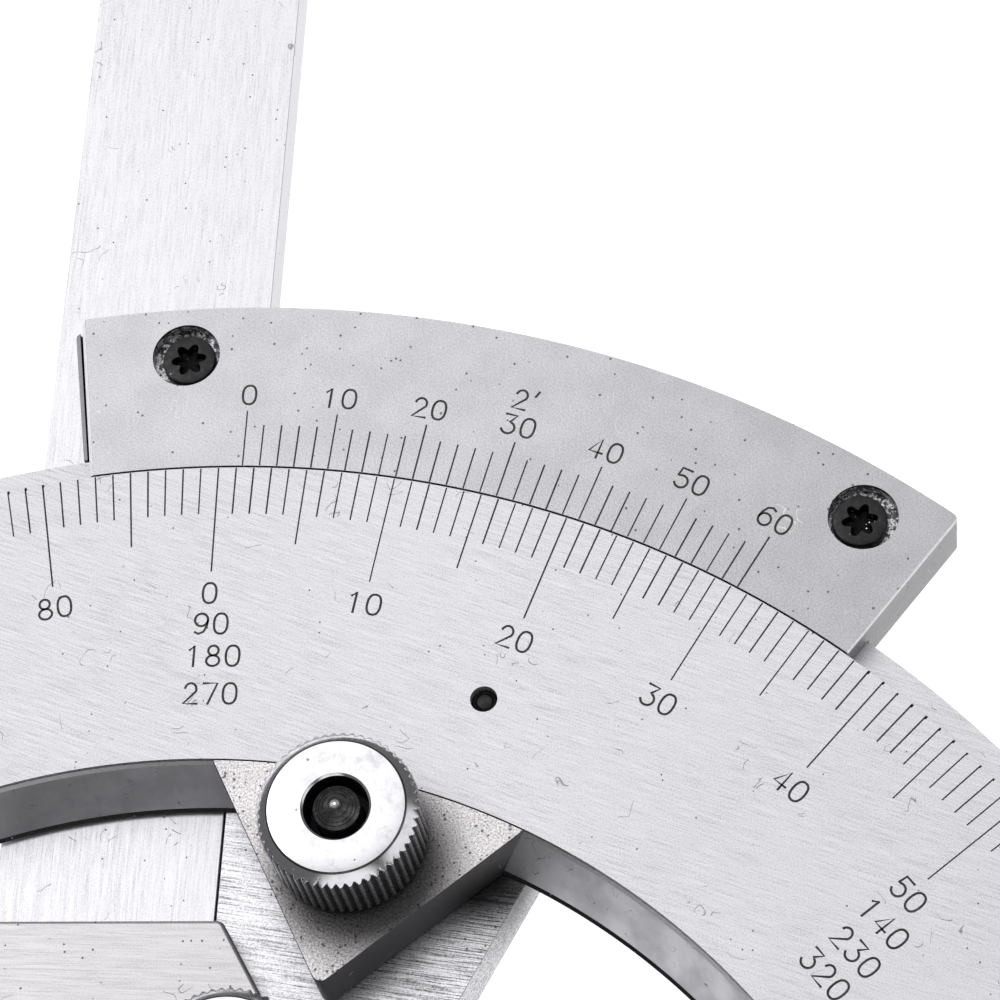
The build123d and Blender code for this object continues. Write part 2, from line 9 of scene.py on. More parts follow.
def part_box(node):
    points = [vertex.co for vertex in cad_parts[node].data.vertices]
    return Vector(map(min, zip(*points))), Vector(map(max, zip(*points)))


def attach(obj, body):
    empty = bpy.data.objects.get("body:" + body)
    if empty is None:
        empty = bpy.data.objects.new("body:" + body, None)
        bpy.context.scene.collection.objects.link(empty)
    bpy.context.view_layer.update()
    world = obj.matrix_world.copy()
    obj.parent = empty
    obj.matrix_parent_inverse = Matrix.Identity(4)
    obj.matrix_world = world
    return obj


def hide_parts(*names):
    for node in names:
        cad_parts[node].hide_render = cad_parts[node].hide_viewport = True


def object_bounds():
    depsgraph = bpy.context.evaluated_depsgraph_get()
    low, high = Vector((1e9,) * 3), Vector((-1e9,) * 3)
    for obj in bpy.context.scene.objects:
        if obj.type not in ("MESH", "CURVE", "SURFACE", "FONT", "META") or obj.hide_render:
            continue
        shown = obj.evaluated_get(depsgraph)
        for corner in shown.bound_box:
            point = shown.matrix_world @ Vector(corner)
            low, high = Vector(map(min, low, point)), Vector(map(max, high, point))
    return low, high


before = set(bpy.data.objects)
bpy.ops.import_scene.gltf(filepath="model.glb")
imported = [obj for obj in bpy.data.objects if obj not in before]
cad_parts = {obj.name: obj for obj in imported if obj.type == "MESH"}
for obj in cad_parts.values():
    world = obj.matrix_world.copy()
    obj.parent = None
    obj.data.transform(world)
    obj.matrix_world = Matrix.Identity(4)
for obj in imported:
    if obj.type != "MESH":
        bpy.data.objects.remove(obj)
cad_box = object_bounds()
random.seed(7)

# Universal bevel protractor. Metres in Blender, millimetres in the values below.
# Angles are in degrees, clockwise from +Y about the arc's centre, as on the CAD model.
MM = 0.001
READING = 1 + 20 / 60      # setting at rest; sector-carried pieces are drawn at zero and turned to it

# Main scale plate
FACE_R = (52.24, 75.0)
BRAKE_EDGE_R = (52.1, 52.19)   # the brake plate's curved top edge in the CAD shape, and here
STRIP_R, STRIP_Z = 77.27, -2.0
PLATE_Z = -4.4
WALL_R = (51.95, 50.0)     # under the wall's top chamfer, and at the back
WALL_CHAMFER_Z = -0.5
DARK_EDGE_Z = -0.20             # the wall's top edge is dark down to here
FOOT_H, FOOT_REACH = 0.24, 0.13      # groove at the foot of the wall, painted black as shade
SCALE_SPAN = (-50.0, 89.0)
TAB_X, TAB_Y, TAB_Z = (51.0, 72.5), (3.0, 11.0), -2.2
RECESS_R, RECESS_SPAN, RECESS_Z = (57.0, 71.0), (-30.0, 70.0), -2.4
GEAR_SCREW_R, GEAR_SCREW_ANGLES = 60.0, (-20.36, 19.64, 59.64)
GEAR_SCREW_HOLE = 0.97
BASE_SCREW_X, BASE_SCREW_Y = (54.5, 61.75, 69.0), 7.0

# Vernier and spacer
VERNIER_R = (75.15, 88.15)
VERNIER_SPAN = (-8.65, 36.15)
VERNIER_T = 1.9
END_CHAMFER = {-8.65: 0.28, 36.15: 0.12}
OUTER_CORNER_R = 0.5
SPACER_R = (77.42, 88.1)
SPACER_SPAN = (-9.18, 36.15)
JOINT_SLIT = (0.5, (-8.97, -8.4))   # depth and span of the slit at the spacer's left end, painted black as shade
SPACER_Z = -4.5
VERNIER_SCREW_R, VERNIER_SCREW_ANGLES = 84.33, (-3.4, 32.4)
BORE_R, BORE_DEPTH, BORE_RIM = 2.5, 1.25, 0.25
SPACER_SCREW_R, SPACER_SCREW_ANGLES = 82.4, (5.0, 18.0, 31.0)

# Studs and knurled nuts: place on the sector, and the height that each nut stands on
NUTS = {
    "brake": ((10.04, 46.45), 0.0, "sector", "brake_nut"),
    "clamp": ((3.38, 28.64), -2.0, "sector", "clamp_nut"),
    "ruler_clamp": ((22.0, -19.4), 0.95, "square", "ruler_clamp_nut"),
}
NUT_GAP = 0.1
NUT_H = 6.1
NUT_R = 5.68
NUT_TOP_R = 4.80
SHOULDER_SLOPES = (30.0, 42.0)
NUT_BORE_R = 1.72
POCKET_R, POCKET_DEPTH = 2.3, 2.9
STUD_R = 1.63
STUD_PAST_TOP, STUD_ROUND = 0.55, 0.9
KNURL_TEETH, KNURL_DEPTH = 54, 0.25
PINION_AT = (66.5, 14.5)
KNOB_R, KNOB_Z = 6.5, (-16.4, -10.45)
KNOB_BORE_R, KNOB_RIM = 1.52, 0.5
KNOB_SEAT_R, KNOB_SEAT_DEPTH = 2.5, 1.3
KNOB_TEETH, KNOB_KNURL_DEPTH = 60, 0.3

# Screws: six-lobed recess from its waist to its lobes, and the toothed sector's domed ends
HEAD_R, HEAD_H, SHANK_R = 1.97, 0.95, 0.95
STAR_LOBES, STAR_TURN = 6, 10.0
STAR_R, STAR_REACH, STAR_DEPTH = 0.80, 0.52, 0.7
GEAR_SCREW_TOP, GEAR_SCREW_BACK = -0.42, -3.98
GEAR_SHANK_R, GEAR_HEAD_R, GEAR_HEAD_Z = 0.93, 1.7, -3.2

# Graduations and figures
LINE_W = 0.118
LINE_Z = (-0.02, 0.008)    # filled lines: foot in the metal, top just proud of it
FIGURE_H, FIGURE_W, FIGURE_ADVANCE = 1.57, 0.98, 1.42
FIGURE_LINE = 0.172
TENTH_R, FIFTH_R, DEGREE_R = 66.76, 69.05, 71.34   # where the scale's lines of each kind start
VERNIER_FIFTH_R, VERNIER_TICK_R = 79.53, 78.4      # where the vernier's lines end
SCALE_LABEL_R, VERNIER_LABEL_R = 65.0, 80.9


# ---------------------------------------------------------------- mesh helpers

def polar(radius, angle, z=0.0):
    turn = math.radians(angle)
    return Vector((radius * math.sin(turn), radius * math.cos(turn), z))


def steps(start, end, count):
    return [start + (end - start) * i / count for i in range(count + 1)]


def built(name, points, faces):
    """New object from points in millimetres."""
    mesh = bpy.data.meshes.new(name)
    mesh.from_pydata([[c * MM for c in point] for point in points], [], faces)
    piece = bpy.data.objects.new(name, mesh)
    bpy.context.scene.collection.objects.link(piece)
    return piece


def welded(piece, dissolve=False):
    """Joins doubled points, makes normals face out and, if asked, clears edges inside flat faces."""
    work = bmesh.new()
    work.from_mesh(piece.data)
    bmesh.ops.remove_doubles(work, verts=work.verts, dist=1e-7)
    if dissolve:
        bmesh.ops.dissolve_limit(work, angle_limit=math.radians(0.08), verts=work.verts, edges=work.edges)
    bmesh.ops.recalc_face_normals(work, faces=work.faces)
    work.to_mesh(piece.data)
    work.free()
    return piece


def grid_faces(rows, columns, close_rows, close_columns):
    faces = []
    for i in range(rows if close_rows else rows - 1):
        for j in range(columns if close_columns else columns - 1):
            a, b = i * columns + j, i * columns + (j + 1) % columns
            c = ((i + 1) % rows) * columns + j
            d = ((i + 1) % rows) * columns + (j + 1) % columns
            faces.append((a, b, d, c))
    return faces


def turned(name, profile, place=(0, 0), count=96, closed=False, radius_at=None):
    """Outline of (radius, z) turned about an upright axis; radius_at may change a radius by angle."""
    points = []
    for i in range(count):
        angle = 2 * math.pi * i / count
        for radius, z in profile:
            r = radius_at(radius, z, angle) if radius_at else radius
            points.append((place[0] + r * math.cos(angle), place[1] + r * math.sin(angle), z))
    return welded(built(name, points, grid_faces(count, len(profile), True, closed)))


def ring_sector(name, profile, span, step=0.5, corner=0.0):
    """Closed outline of (radius, z) turned about the origin between two angles, with flat ends.
    Its two outer corners can be rounded, seen from above."""
    outer = max(radius for radius, z in profile)
    near_end = [math.degrees(corner * (1 - math.cos(t)) / outer) for t in steps(0, math.pi / 2, 6)]
    inset = near_end[-1]
    angles = steps(span[0] + inset, span[1] - inset, max(2, round((span[1] - span[0]) / step)))
    if corner:
        angles = [span[0] + a for a in near_end[:-1]] + angles + [span[1] - a for a in near_end[-2::-1]]

    def eased(radius, angle):
        gap = math.radians(min(angle - span[0], span[1] - angle)) * outer
        if radius < outer - 1e-6 or gap > corner - 1e-6:
            return radius
        return radius - corner + math.sqrt(max(0.0, corner ** 2 - (corner - gap) ** 2))
    points = [polar(eased(radius, angle), angle, z) for angle in angles for radius, z in profile]
    count = len(profile)
    faces = grid_faces(len(angles), count, False, True)
    faces.append(tuple(range(count)))
    faces.append(tuple(range((len(angles) - 1) * count, len(angles) * count)))
    return welded(built(name, points, faces))


def ring_profile(radii, heights):
    return [(radii[0], heights[0]), (radii[1], heights[0]), (radii[1], heights[1]), (radii[0], heights[1])]


def box(x, y, z):
    points = [(a, b, c) for a in x for b in y for c in z]
    faces = [(0, 1, 3, 2), (4, 6, 7, 5), (0, 4, 5, 1), (2, 3, 7, 6), (0, 2, 6, 4), (1, 5, 7, 3)]
    return welded(built("cutter", points, faces))


def rod(place, radius, heights, count=64):
    return turned("cutter", ring_profile((0, radius), heights), place, count)


def baked(piece):
    """Makes the modifiers' result the piece's own mesh."""
    bpy.context.view_layer.update()
    result = bpy.data.meshes.new_from_object(piece.evaluated_get(bpy.context.evaluated_depsgraph_get()))
    piece.modifiers.clear()
    piece.data = result
    return piece


def cut(piece, cutters):
    for cutter in cutters:
        modifier = piece.modifiers.new("cut", "BOOLEAN")
        modifier.operation = "DIFFERENCE"
        modifier.solver = "EXACT"
        modifier.object = cutter
    baked(piece)
    for cutter in cutters:
        bpy.data.objects.remove(cutter)
    return welded(piece, dissolve=True)


def smooth(piece, angle=30.0):
    piece.data.shade_smooth()
    piece.data.set_sharp_from_angle(angle=math.radians(angle))
    return piece


def bevelled(piece, width, sharp=20.0):
    """Breaks the sharp edges with a small flat, and shades only the curved faces smooth."""
    modifier = piece.modifiers.new("edges", "BEVEL")
    modifier.width = width * MM
    modifier.segments = 1
    modifier.limit_method = "ANGLE"
    modifier.angle_limit = math.radians(30)
    modifier.use_clamp_overlap = True
    return smooth(baked(piece), sharp)


def turn_to_reading(piece):
    piece.data.transform(Matrix.Rotation(-math.radians(READING), 4, "Z"))
    return piece


def dressed(piece, body, materials, replaces=None):
    """Gives a piece its materials, puts it on the body it rides on, and hides the CAD part it stands for."""
    for material in materials:
        piece.data.materials.append(material)
    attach(piece, body)
    if replaces:
        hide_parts(replaces)
    return piece


def paint(piece, index, test):
    """Puts a material on the faces whose centre (mm) and normal pass the test."""
    for face in piece.data.polygons:
        if test(face.center / MM, face.normal):
            face.material_index = index


def refined(node, name, width):
    """A CAD node's own shape with flat faces made whole and edges softened."""
    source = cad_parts[node]
    piece = bpy.data.objects.new(name, source.data.copy())
    piece.data.materials.clear()
    bpy.context.scene.collection.objects.link(piece)
    welded(piece, dissolve=True)
    return bevelled(piece, width)


def ribbon(path, width, closed=False):
    """Flat solid line along a path of points in millimetres: its points and faces."""
    count = len(path)
    points, faces = [], []
    for i, here in enumerate(path):
        before = path[i - 1] if closed or i else here
        after = path[(i + 1) % count] if closed or i < count - 1 else here
        along = (after - before).normalized()
        side = Vector((-along.y, along.x, 0)) * width / 2
        stretch = 0.0 if closed or 0 < i < count - 1 else width / 2
        end = along * stretch * (1 if i else -1)
        for edge in (side, -side):
            for z in LINE_Z:
                points.append(here + edge + end + Vector((0, 0, z)))
    for i in range(count if closed else count - 1):
        a, b = 4 * i, 4 * ((i + 1) % count)
        for p, q in ((1, 3), (3, 2), (2, 0), (0, 1)):
            faces.append((a + p, a + q, b + q, b + p))
    if not closed:
        faces += [(0, 1, 3, 2), tuple(4 * count - 4 + k for k in (0, 2, 3, 1))]
    return points, faces


def joined(name, parts):
    points, faces = [], []
    for part_points, part_faces in parts:
        start = len(points)
        points += part_points
        faces += [tuple(start + k for k in face) for face in part_faces]
    return welded(built(name, points, faces))


# ---------------------------------------------------------------- materials

class Graph:
    """A material's nodes, made one call at a time."""

    def __init__(self, name):
        self.material = bpy.data.materials.new(name)
        self.material.use_nodes = True
        self.tree = self.material.node_tree
        self.shader = self.tree.nodes["Principled BSDF"]
        self.place = self.add("ShaderNodeTexCoord").outputs["Object"]

    def add(self, kind, **settings):
        node = self.tree.nodes.new(kind)
        for key, value in settings.items():
            setattr(node, key, value)
        return node

    def feed(self, socket, value):
        if isinstance(value, bpy.types.NodeSocket):
            self.tree.links.new(value, socket)
        else:
            socket.default_value = value

    def math(self, operation, a, b=0.5, clamp=False):
        node = self.add("ShaderNodeMath", operation=operation, use_clamp=clamp)
        self.feed(node.inputs[0], a)
        self.feed(node.inputs[1], b)
        return node.outputs[0]

    def span(self, value, low, high, to_low=0.0, to_high=1.0):
        node = self.add("ShaderNodeMapRange", interpolation_type="SMOOTHSTEP")
        for socket, item in zip(node.inputs, (value, low, high, to_low, to_high)):
            self.feed(socket, item)
        return node.outputs[0]

    def mapped(self, scale, turn=0.0, shift=(0, 0, 0)):
        """Object place turned about Z by degrees, then scaled per millimetre."""
        node = self.add("ShaderNodeMapping", vector_type="POINT")
        rotated = self.add("ShaderNodeVectorRotate", rotation_type="Z_AXIS")
        self.feed(rotated.inputs["Vector"], self.place)
        self.feed(rotated.inputs["Angle"], math.radians(turn))
        self.feed(node.inputs["Vector"], rotated.outputs["Vector"])
        self.feed(node.inputs["Scale"], [s / MM for s in scale])
        self.feed(node.inputs["Location"], shift)
        return node.outputs["Vector"]

    def noise(self, vector, detail=3.0, rough=0.6, twist=0.0):
        node = self.add("ShaderNodeTexNoise")
        self.feed(node.inputs["Vector"], vector)
        self.feed(node.inputs["Scale"], 1.0)
        self.feed(node.inputs["Detail"], detail)
        self.feed(node.inputs["Roughness"], rough)
        self.feed(node.inputs["Distortion"], twist)
        return node.outputs["Fac"]

    def cells(self, vector):
        node = self.add("ShaderNodeTexVoronoi")
        self.feed(node.inputs["Vector"], vector)
        self.feed(node.inputs["Scale"], 1.0)
        return node

    def streaks(self, turn, length, width, detail=4.0, shift=(0, 0, 0)):
        """Fine lines that run along X before the turn: length and width in millimetres."""
        return self.noise(self.mapped((1 / length, 1 / width, 1 / width), turn, shift), detail, 0.7)

    def specks(self, spacing, size, share):
        """Sparse round dots: about one cell in 1/share carries one."""
        node = self.cells(self.mapped((1 / spacing,) * 3))
        near = self.span(node.outputs["Distance"], size * 0.55, size, 1.0, 0.0)
        colour = self.add("ShaderNodeSeparateColor")
        self.feed(colour.inputs["Color"], node.outputs["Color"])
        chosen = self.math("LESS_THAN", colour.outputs["Red"], share)
        return self.math("MULTIPLY", near, chosen)

    def hairs(self, size, width, share, shift):
        """Curly hair-fine marks: contour lines of a soft noise, kept in a few patches."""
        field = self.noise(self.mapped((1 / size,) * 3, 0, shift), 1.5, 0.5, 0.6)
        line = self.span(self.math("ABSOLUTE", self.math("SUBTRACT", field, 0.5)), 0.0, width, 1.0, 0.0)
        patch = self.noise(self.mapped((0.8 / size,) * 3, 30, [s + 5 for s in shift]), 1.0, 0.5)
        return self.math("MULTIPLY", line, self.span(patch, 1 - share, 1 - share + 0.02))

    def oil(self, centre, radii, strength):
        """Painted shade round a place (mm), full inside the first radius and gone at the second."""
        gap = self.add("ShaderNodeVectorMath", operation="DISTANCE")
        self.feed(gap.inputs[0], self.place)
        self.feed(gap.inputs[1], centre * MM)
        return self.span(gap.outputs["Value"], radii[0] * MM, radii[1] * MM, strength, 0.0)

    def drifted(self, colour, drift):
        """Painted shade: colour that darkens along X, from full at the first place (mm) by a share at the
        second.
        """
        if not drift:
            return colour
        start, end, share = drift
        parts = self.add("ShaderNodeSeparateXYZ")
        self.feed(parts.inputs["Vector"], self.place)
        return self.mix(colour, grey(0.0), self.span(parts.outputs["X"], start * MM, end * MM, 0.0, share))

    def mix(self, low, high, amount):
        node = self.add("ShaderNodeMix", data_type="RGBA")
        self.feed(node.inputs["Factor"], amount)
        self.feed(node.inputs["A"], low)
        self.feed(node.inputs["B"], high)
        return node.outputs["Result"]

    def bump(self, height, depth, strength=1.0, normal=None):
        node = self.add("ShaderNodeBump")
        node.inputs["Strength"].default_value = strength
        node.inputs["Distance"].default_value = depth * MM
        self.feed(node.inputs["Height"], height)
        if normal:
            self.feed(node.inputs["Normal"], normal)
        return node.outputs["Normal"]

    def finish(self, colour, roughness, normal=None, metallic=1.0):
        self.feed(self.shader.inputs["Base Color"], colour)
        self.feed(self.shader.inputs["Roughness"], roughness)
        self.shader.inputs["Metallic"].default_value = metallic
        if normal:
            self.feed(self.shader.inputs["Normal"], normal)
        return self.material


def grey(level, warm=0.0):
    """Cool grey with a trace of violet, and less of it where the metal is warmer."""
    return (level * (1 + warm), level * 0.99, level * (1.035 - warm), 1.0)


def ground_steel(name, level, dark, turn, length, width, rough, line_depth,
                 fleck=(0.9, 0.1, 0.12), hair=0.0, warm=0.0, contrast=0.5, grain=0.3,
                 band=(0.32, 0.6), painted_shade=None, drift=None):
    """Ground or brushed steel: grinding lines, soft cloudiness, flecks and hair-fine scratches."""
    graph = Graph(name)
    fine = graph.streaks(turn, length, width)
    coarse = graph.streaks(turn, length * 3, width * 3, 3.0, (7, 3, 0))
    cloud = graph.noise(graph.mapped((0.11,) * 3), 3.0)
    lines = graph.math("ADD", graph.math("MULTIPLY", fine, 0.75), graph.math("MULTIPLY", coarse, 0.25))
    shade = graph.span(lines, band[0], band[1], 1 - contrast, 0.0)
    shade = graph.math("MULTIPLY", shade, graph.span(cloud, 0.35, 0.65, 0.55, 1.0), clamp=True)
    grains = graph.noise(graph.mapped((9.0,) * 3), 4.0, 0.85)
    shade = graph.math("ADD", shade, graph.span(grains, 0.40, 0.62, -grain, grain), clamp=True)
    colour = graph.mix(grey(level, warm), grey(dark, warm), shade)
    colour = graph.drifted(colour, drift)
    spots = graph.specks(*fleck)
    marks = graph.hairs(2.4, 0.006, hair, (3.1, 8.4, 0)) if hair else 0.0
    colour = graph.mix(colour, grey(0.05), graph.math("MULTIPLY", spots, 0.85))
    if hair:
        colour = graph.mix(colour, grey(0.12), graph.math("MULTIPLY", marks, 0.7))
    # Painted shade round a given place, lighter on the grinding lines' bright parts and deepest at its
    # centre.
    if painted_shade:
        oil = graph.oil(*painted_shade)
        soft_shade = graph.math("MULTIPLY", oil, graph.span(shade, 0.0, 1.0, 0.55, 1.0))
        deep_shade = graph.math("MULTIPLY", graph.math("POWER", oil, 4.0), 0.4)
        colour = graph.mix(colour, grey(0.03), graph.math("ADD", soft_shade, deep_shade, clamp=True))
    roughness = graph.span(lines, 0.3, 0.7, rough + 0.08, rough - 0.08)
    normal = graph.bump(lines, line_depth, 0.6)
    normal = graph.bump(graph.math("ADD", spots, marks), -0.02, 0.6, normal)
    return graph.finish(colour, roughness, normal)


def blasted_steel(name, level, dark, grain, rough, pit_share, warm=0.0, grain_depth=0.02, mottle=0.5,
                  painted_shade=None, drift=None):
    """Bead-blasted steel: fine even grain, small dark pits and a few light rubbed scratches.
    Painted shade, if any, is given as a place, the radii in millimetres where it fades out, and a strength."""
    graph = Graph(name)
    small = graph.noise(graph.mapped((0.8 / grain,) * 3), 6.0, 0.95)
    large = graph.noise(graph.mapped((0.25,) * 3), 3.0)
    dimple = graph.cells(graph.mapped((0.7 / grain,) * 3)).outputs["Distance"]
    shade = graph.span(small, 0.56, 0.40, 0.0, mottle)
    shade = graph.math("ADD", shade, graph.span(large, 0.3, 0.7, 0.0, 0.15), clamp=True)
    colour = graph.mix(grey(level, warm), grey(dark, warm), shade)
    colour = graph.drifted(colour, drift)
    pits = graph.specks(grain * 3.2, 0.3, pit_share)
    colour = graph.mix(colour, grey(0.06), graph.math("MULTIPLY", pits, 0.8))
    rub = graph.hairs(3.3, 0.004, 0.37, (9.0, 1.7, 0))
    colour = graph.mix(colour, grey(0.95), graph.math("MULTIPLY", rub, 0.5))
    # Painted shade round a given place.
    if painted_shade:
        uneven = graph.span(small, 0.3, 0.6, 1.0, 0.9)
        colour = graph.mix(colour, grey(0.03), graph.math("MULTIPLY", graph.oil(*painted_shade), uneven))
    normal = graph.bump(small, grain_depth, 0.8)
    normal = graph.bump(dimple, grain_depth, 0.5, normal)
    normal = graph.bump(pits, -0.03, 0.7, normal)
    return graph.finish(colour, rough, normal)


def wall_steel():
    """The bevelled inner wall: smooth, dark, with faint turned lines and scratches."""
    graph = Graph("wall_steel")
    cloud = graph.noise(graph.mapped((0.3,) * 3), 4.0)
    turnedness = graph.noise(graph.mapped((0.05, 0.05, 6.0)), 2.0)
    colour = graph.mix(grey(0.62), grey(0.50), graph.span(cloud, 0.35, 0.65))
    # Painted shade: the wall darkens towards its left.
    colour = graph.drifted(colour, (6.0, -14.0, 0.42))
    marks = graph.hairs(1.3, 0.010, 0.42, (1.1, 2.2, 3.0))
    colour = graph.mix(colour, grey(0.05), graph.math("MULTIPLY", marks, 0.8))
    normal = graph.bump(turnedness, 0.01, 0.4)
    return graph.finish(colour, graph.span(cloud, 0.3, 0.7, 0.42, 0.55), normal)


def polished_chrome():
    """Polished nickel-chrome: turned rings too faint to see, small smudges and dings."""
    graph = Graph("polished_chrome")
    smudge = graph.noise(graph.mapped((0.9,) * 3), 4.0, 0.7)
    fine = graph.noise(graph.mapped((6.0,) * 3), 3.0)
    dings = graph.specks(0.6, 0.2, 0.10)
    colour = graph.mix(grey(0.74), grey(0.58), graph.span(smudge, 0.46, 0.74))
    colour = graph.mix(colour, grey(0.2), graph.math("MULTIPLY", dings, 0.8))
    normal = graph.bump(fine, 0.006, 0.4)
    normal = graph.bump(dings, -0.02, 0.8, normal)
    return graph.finish(colour, graph.span(smudge, 0.3, 0.7, 0.10, 0.22), normal)


def knurl_chrome(name, level):
    graph = Graph(name)
    grime = graph.noise(graph.mapped((1.6,) * 3), 4.0, 0.7)
    fine = graph.noise(graph.mapped((9.0, 9.0, 3.0)), 3.0)
    colour = graph.mix(grey(level), grey(level * 0.6), graph.span(grime, 0.42, 0.7))
    return graph.finish(colour, graph.span(grime, 0.3, 0.7, 0.18, 0.34), graph.bump(fine, 0.006, 0.5))


def black_oxide(name="black_oxide", level=0.016, rough=0.36):
    graph = Graph(name)
    wear = graph.noise(graph.mapped((2.2,) * 3), 4.0, 0.7)
    fine = graph.noise(graph.mapped((14.0,) * 3), 3.0, 0.8)
    colour = graph.mix(grey(level), grey(level * 2.6), graph.span(wear, 0.45, 0.75))
    glint = graph.specks(0.35, 0.2, 0.07)
    colour = graph.mix(colour, grey(0.45), graph.math("MULTIPLY", glint, 0.7))
    return graph.finish(colour, graph.span(fine, 0.3, 0.7, rough - 0.1, rough + 0.12),
                        graph.bump(fine, 0.02, 0.6), metallic=0.6)


def recess_oxide():
    """Inside of the screws' recess: black as painted shade, with bright spots as painted glints."""
    graph = Graph("recess_shade")
    fine = graph.noise(graph.mapped((6.0,) * 3), 3.0, 0.8)
    glint_spots = graph.specks(0.2, 0.34, 0.30)
    patch = graph.noise(graph.mapped((1.4,) * 3), 2.0)
    glint = graph.math("MULTIPLY", glint_spots, graph.span(patch, 0.48, 0.56))
    colour = graph.mix(grey(0.006), grey(0.95), glint)
    rough = graph.span(glint, 0.0, 1.0, 0.45, 0.25)
    return graph.finish(colour, rough, graph.bump(fine, 0.05, 0.8), metallic=0.9)


def bore_floor():
    """Rough milled floor of a counterbore: dark, with broken bright facets painted in as glints."""
    graph = Graph("bore_floor")
    glint_spots = graph.cells(graph.mapped((4.6,) * 3)).outputs["Color"]
    parts = graph.add("ShaderNodeSeparateColor")
    graph.feed(parts.inputs["Color"], glint_spots)
    fine = graph.noise(graph.mapped((7.0,) * 3), 4.0, 0.8)
    light = graph.math("MULTIPLY", graph.span(parts.outputs["Red"], 0.3, 0.7), graph.span(fine, 0.40, 0.52))
    colour = graph.mix(grey(0.10), grey(0.97), light)
    return graph.finish(colour, 0.35, graph.bump(fine, 0.05, 0.9))


def line_fill():
    """Dark filler in the engraved lines, uneven as it is on the tool."""
    graph = Graph("line_fill")
    uneven = graph.noise(graph.mapped((0.8,) * 3), 2.0, 0.6)
    colour = graph.mix(grey(0.015), grey(0.06), graph.span(uneven, 0.40, 0.65))
    return graph.finish(colour, graph.span(uneven, 0.3, 0.7, 0.5, 0.7), metallic=0.2)


def machined(name, level, rough, colour=None):
    """Plain turned or milled metal for the fine adjustment."""
    graph = Graph(name)
    rings = graph.noise(graph.mapped((3.0, 3.0, 9.0)), 3.0, 0.7)
    tint = colour or grey(level)
    darker = tuple(c * 0.7 for c in tint[:3]) + (1.0,)
    base = graph.mix(tint, darker, graph.span(rings, 0.35, 0.7))
    return graph.finish(base, graph.span(rings, 0.3, 0.7, rough - 0.07, rough + 0.07),
                        graph.bump(rings, 0.01, 0.5))


SCALE_LINES = 20.0         # degrees that the scale plate's grinding slopes down to the right
SECTOR_SHADE_AT = Vector((20.9, 44.6, -4.5))   # painted shade on the sector plate, near the brake plate's right tip
BRAKE_STUD_R, BRAKE_STUD_ANGLE = 47.52, 12.2
# Painted shade round the brake nut, a little to its lower right, where the nut's shadow falls
NUT_SHADE_AT = polar(BRAKE_STUD_R, BRAKE_STUD_ANGLE + READING) + Vector((1.0, -2.1, 0))
# Painted shade: the scale plate's steel darkens towards its left.
scale_steel = ground_steel("scale_steel", 0.72, 0.50, SCALE_LINES, 2.8, 0.06, 0.52, 0.009,
                           fleck=(0.8, 0.10, 0.25), hair=0.35, contrast=0.3, grain=0.6, band=(0.36, 0.58),
                           drift=(25.0, -25.0, 0.09))
# Painted shade: the vernier's steel darkens towards its right, as the light falls off.
vernier_steel = blasted_steel("vernier_steel", 0.67, 0.30, 0.11, 0.49, 0.03, drift=(10.0, 58.0, 0.16))
# Painted shade: a darker copy of the vernier's steel for its sides and ends, and for the spacer.
shaded_vernier_side = blasted_steel("shaded_vernier_side", 0.37, 0.23, 0.12, 0.55, 0.05)
rubbed_edge = blasted_steel("rubbed_edge", 0.97, 0.85, 0.3, 0.45, 0.02)
wall_edge = blasted_steel("wall_edge", 0.55, 0.40, 0.2, 0.45, 0.05)
# Dark edge black: on the wall's top edge, and as painted shade on the sector plate's sloped top edges.
edge_black = blasted_steel("edge_black", 0.30, 0.02, 0.2, 0.45, 0.2)
sector_steel = ground_steel("sector_steel", 0.74, 0.07, 9.0, 4.0, 0.10, 0.31, 0.03,
                            fleck=(0.7, 0.14, 0.3), contrast=0.0, band=(0.40, 0.56),
                            painted_shade=(SECTOR_SHADE_AT, (1.5, 7.0), 0.98))
blade_steel = ground_steel("blade_steel", 0.70, 0.50, 90.0 + READING, 2.6, 0.08, 0.42, 0.010,
                           fleck=(0.75, 0.11, 0.3), hair=0.33, contrast=0.4, grain=0.45, band=(0.36, 0.58))
ruler_steel = ground_steel("ruler_steel", 0.68, 0.54, READING, 2.6, 0.05, 0.42, 0.008,
                           fleck=(0.8, 0.12, 0.2))
brake_steel = blasted_steel("brake_steel", 0.93, 0.12, 0.12, 0.40, 0.4, 0.03, 0.03, 0.8,
                            painted_shade=(NUT_SHADE_AT, (4.4, 8.4), 0.98))
block_steel = ground_steel("block_steel", 0.60, 0.42, 2.0, 3.0, 0.07, 0.46, 0.010,
                           fleck=(0.7, 0.14, 0.35), hair=0.36, warm=0.015, contrast=0.4, grain=0.45)
# Painted shade: a much darker copy of the brake plate's steel for its sides.
shaded_brake_side = blasted_steel("shaded_brake_side", 0.10, 0.05, 0.16, 0.5, 0.05)
inner_wall = wall_steel()
chrome = polished_chrome()
# Painted shade: the knurl is a darker copy of the nut's chrome, and its groove roots and the crease under the
# nut's top are darker still.
knurl = knurl_chrome("knurl_chrome", 0.52)
knurl_groove_shade = knurl_chrome("knurl_groove_shade", 0.13)
black = black_oxide()
stud_black = black_oxide("stud_black", 0.055, 0.16)
stud_highlight_halo = black_oxide("stud_highlight_halo", 0.22, 0.16)
stud_highlight = black_oxide("stud_highlight", 0.85, 0.2)
floor_glints = bore_floor()
# Painted shade: black put where shade falls, in the counterbores, the nuts' stud pockets, the groove at the
# wall's foot, the spacer's slit and along the vernier's left end.
painted_shade_black = black_oxide("painted_shade_black", 0.010, 0.5)
recess_shade = recess_oxide()
fill = line_fill()
gear_steel = machined("gear_steel", 0.45, 0.35)
brass = machined("bush_brass", 0.5, 0.3, (0.72, 0.52, 0.22, 1.0))


# ---------------------------------------------------------------- main scale, vernier, plates

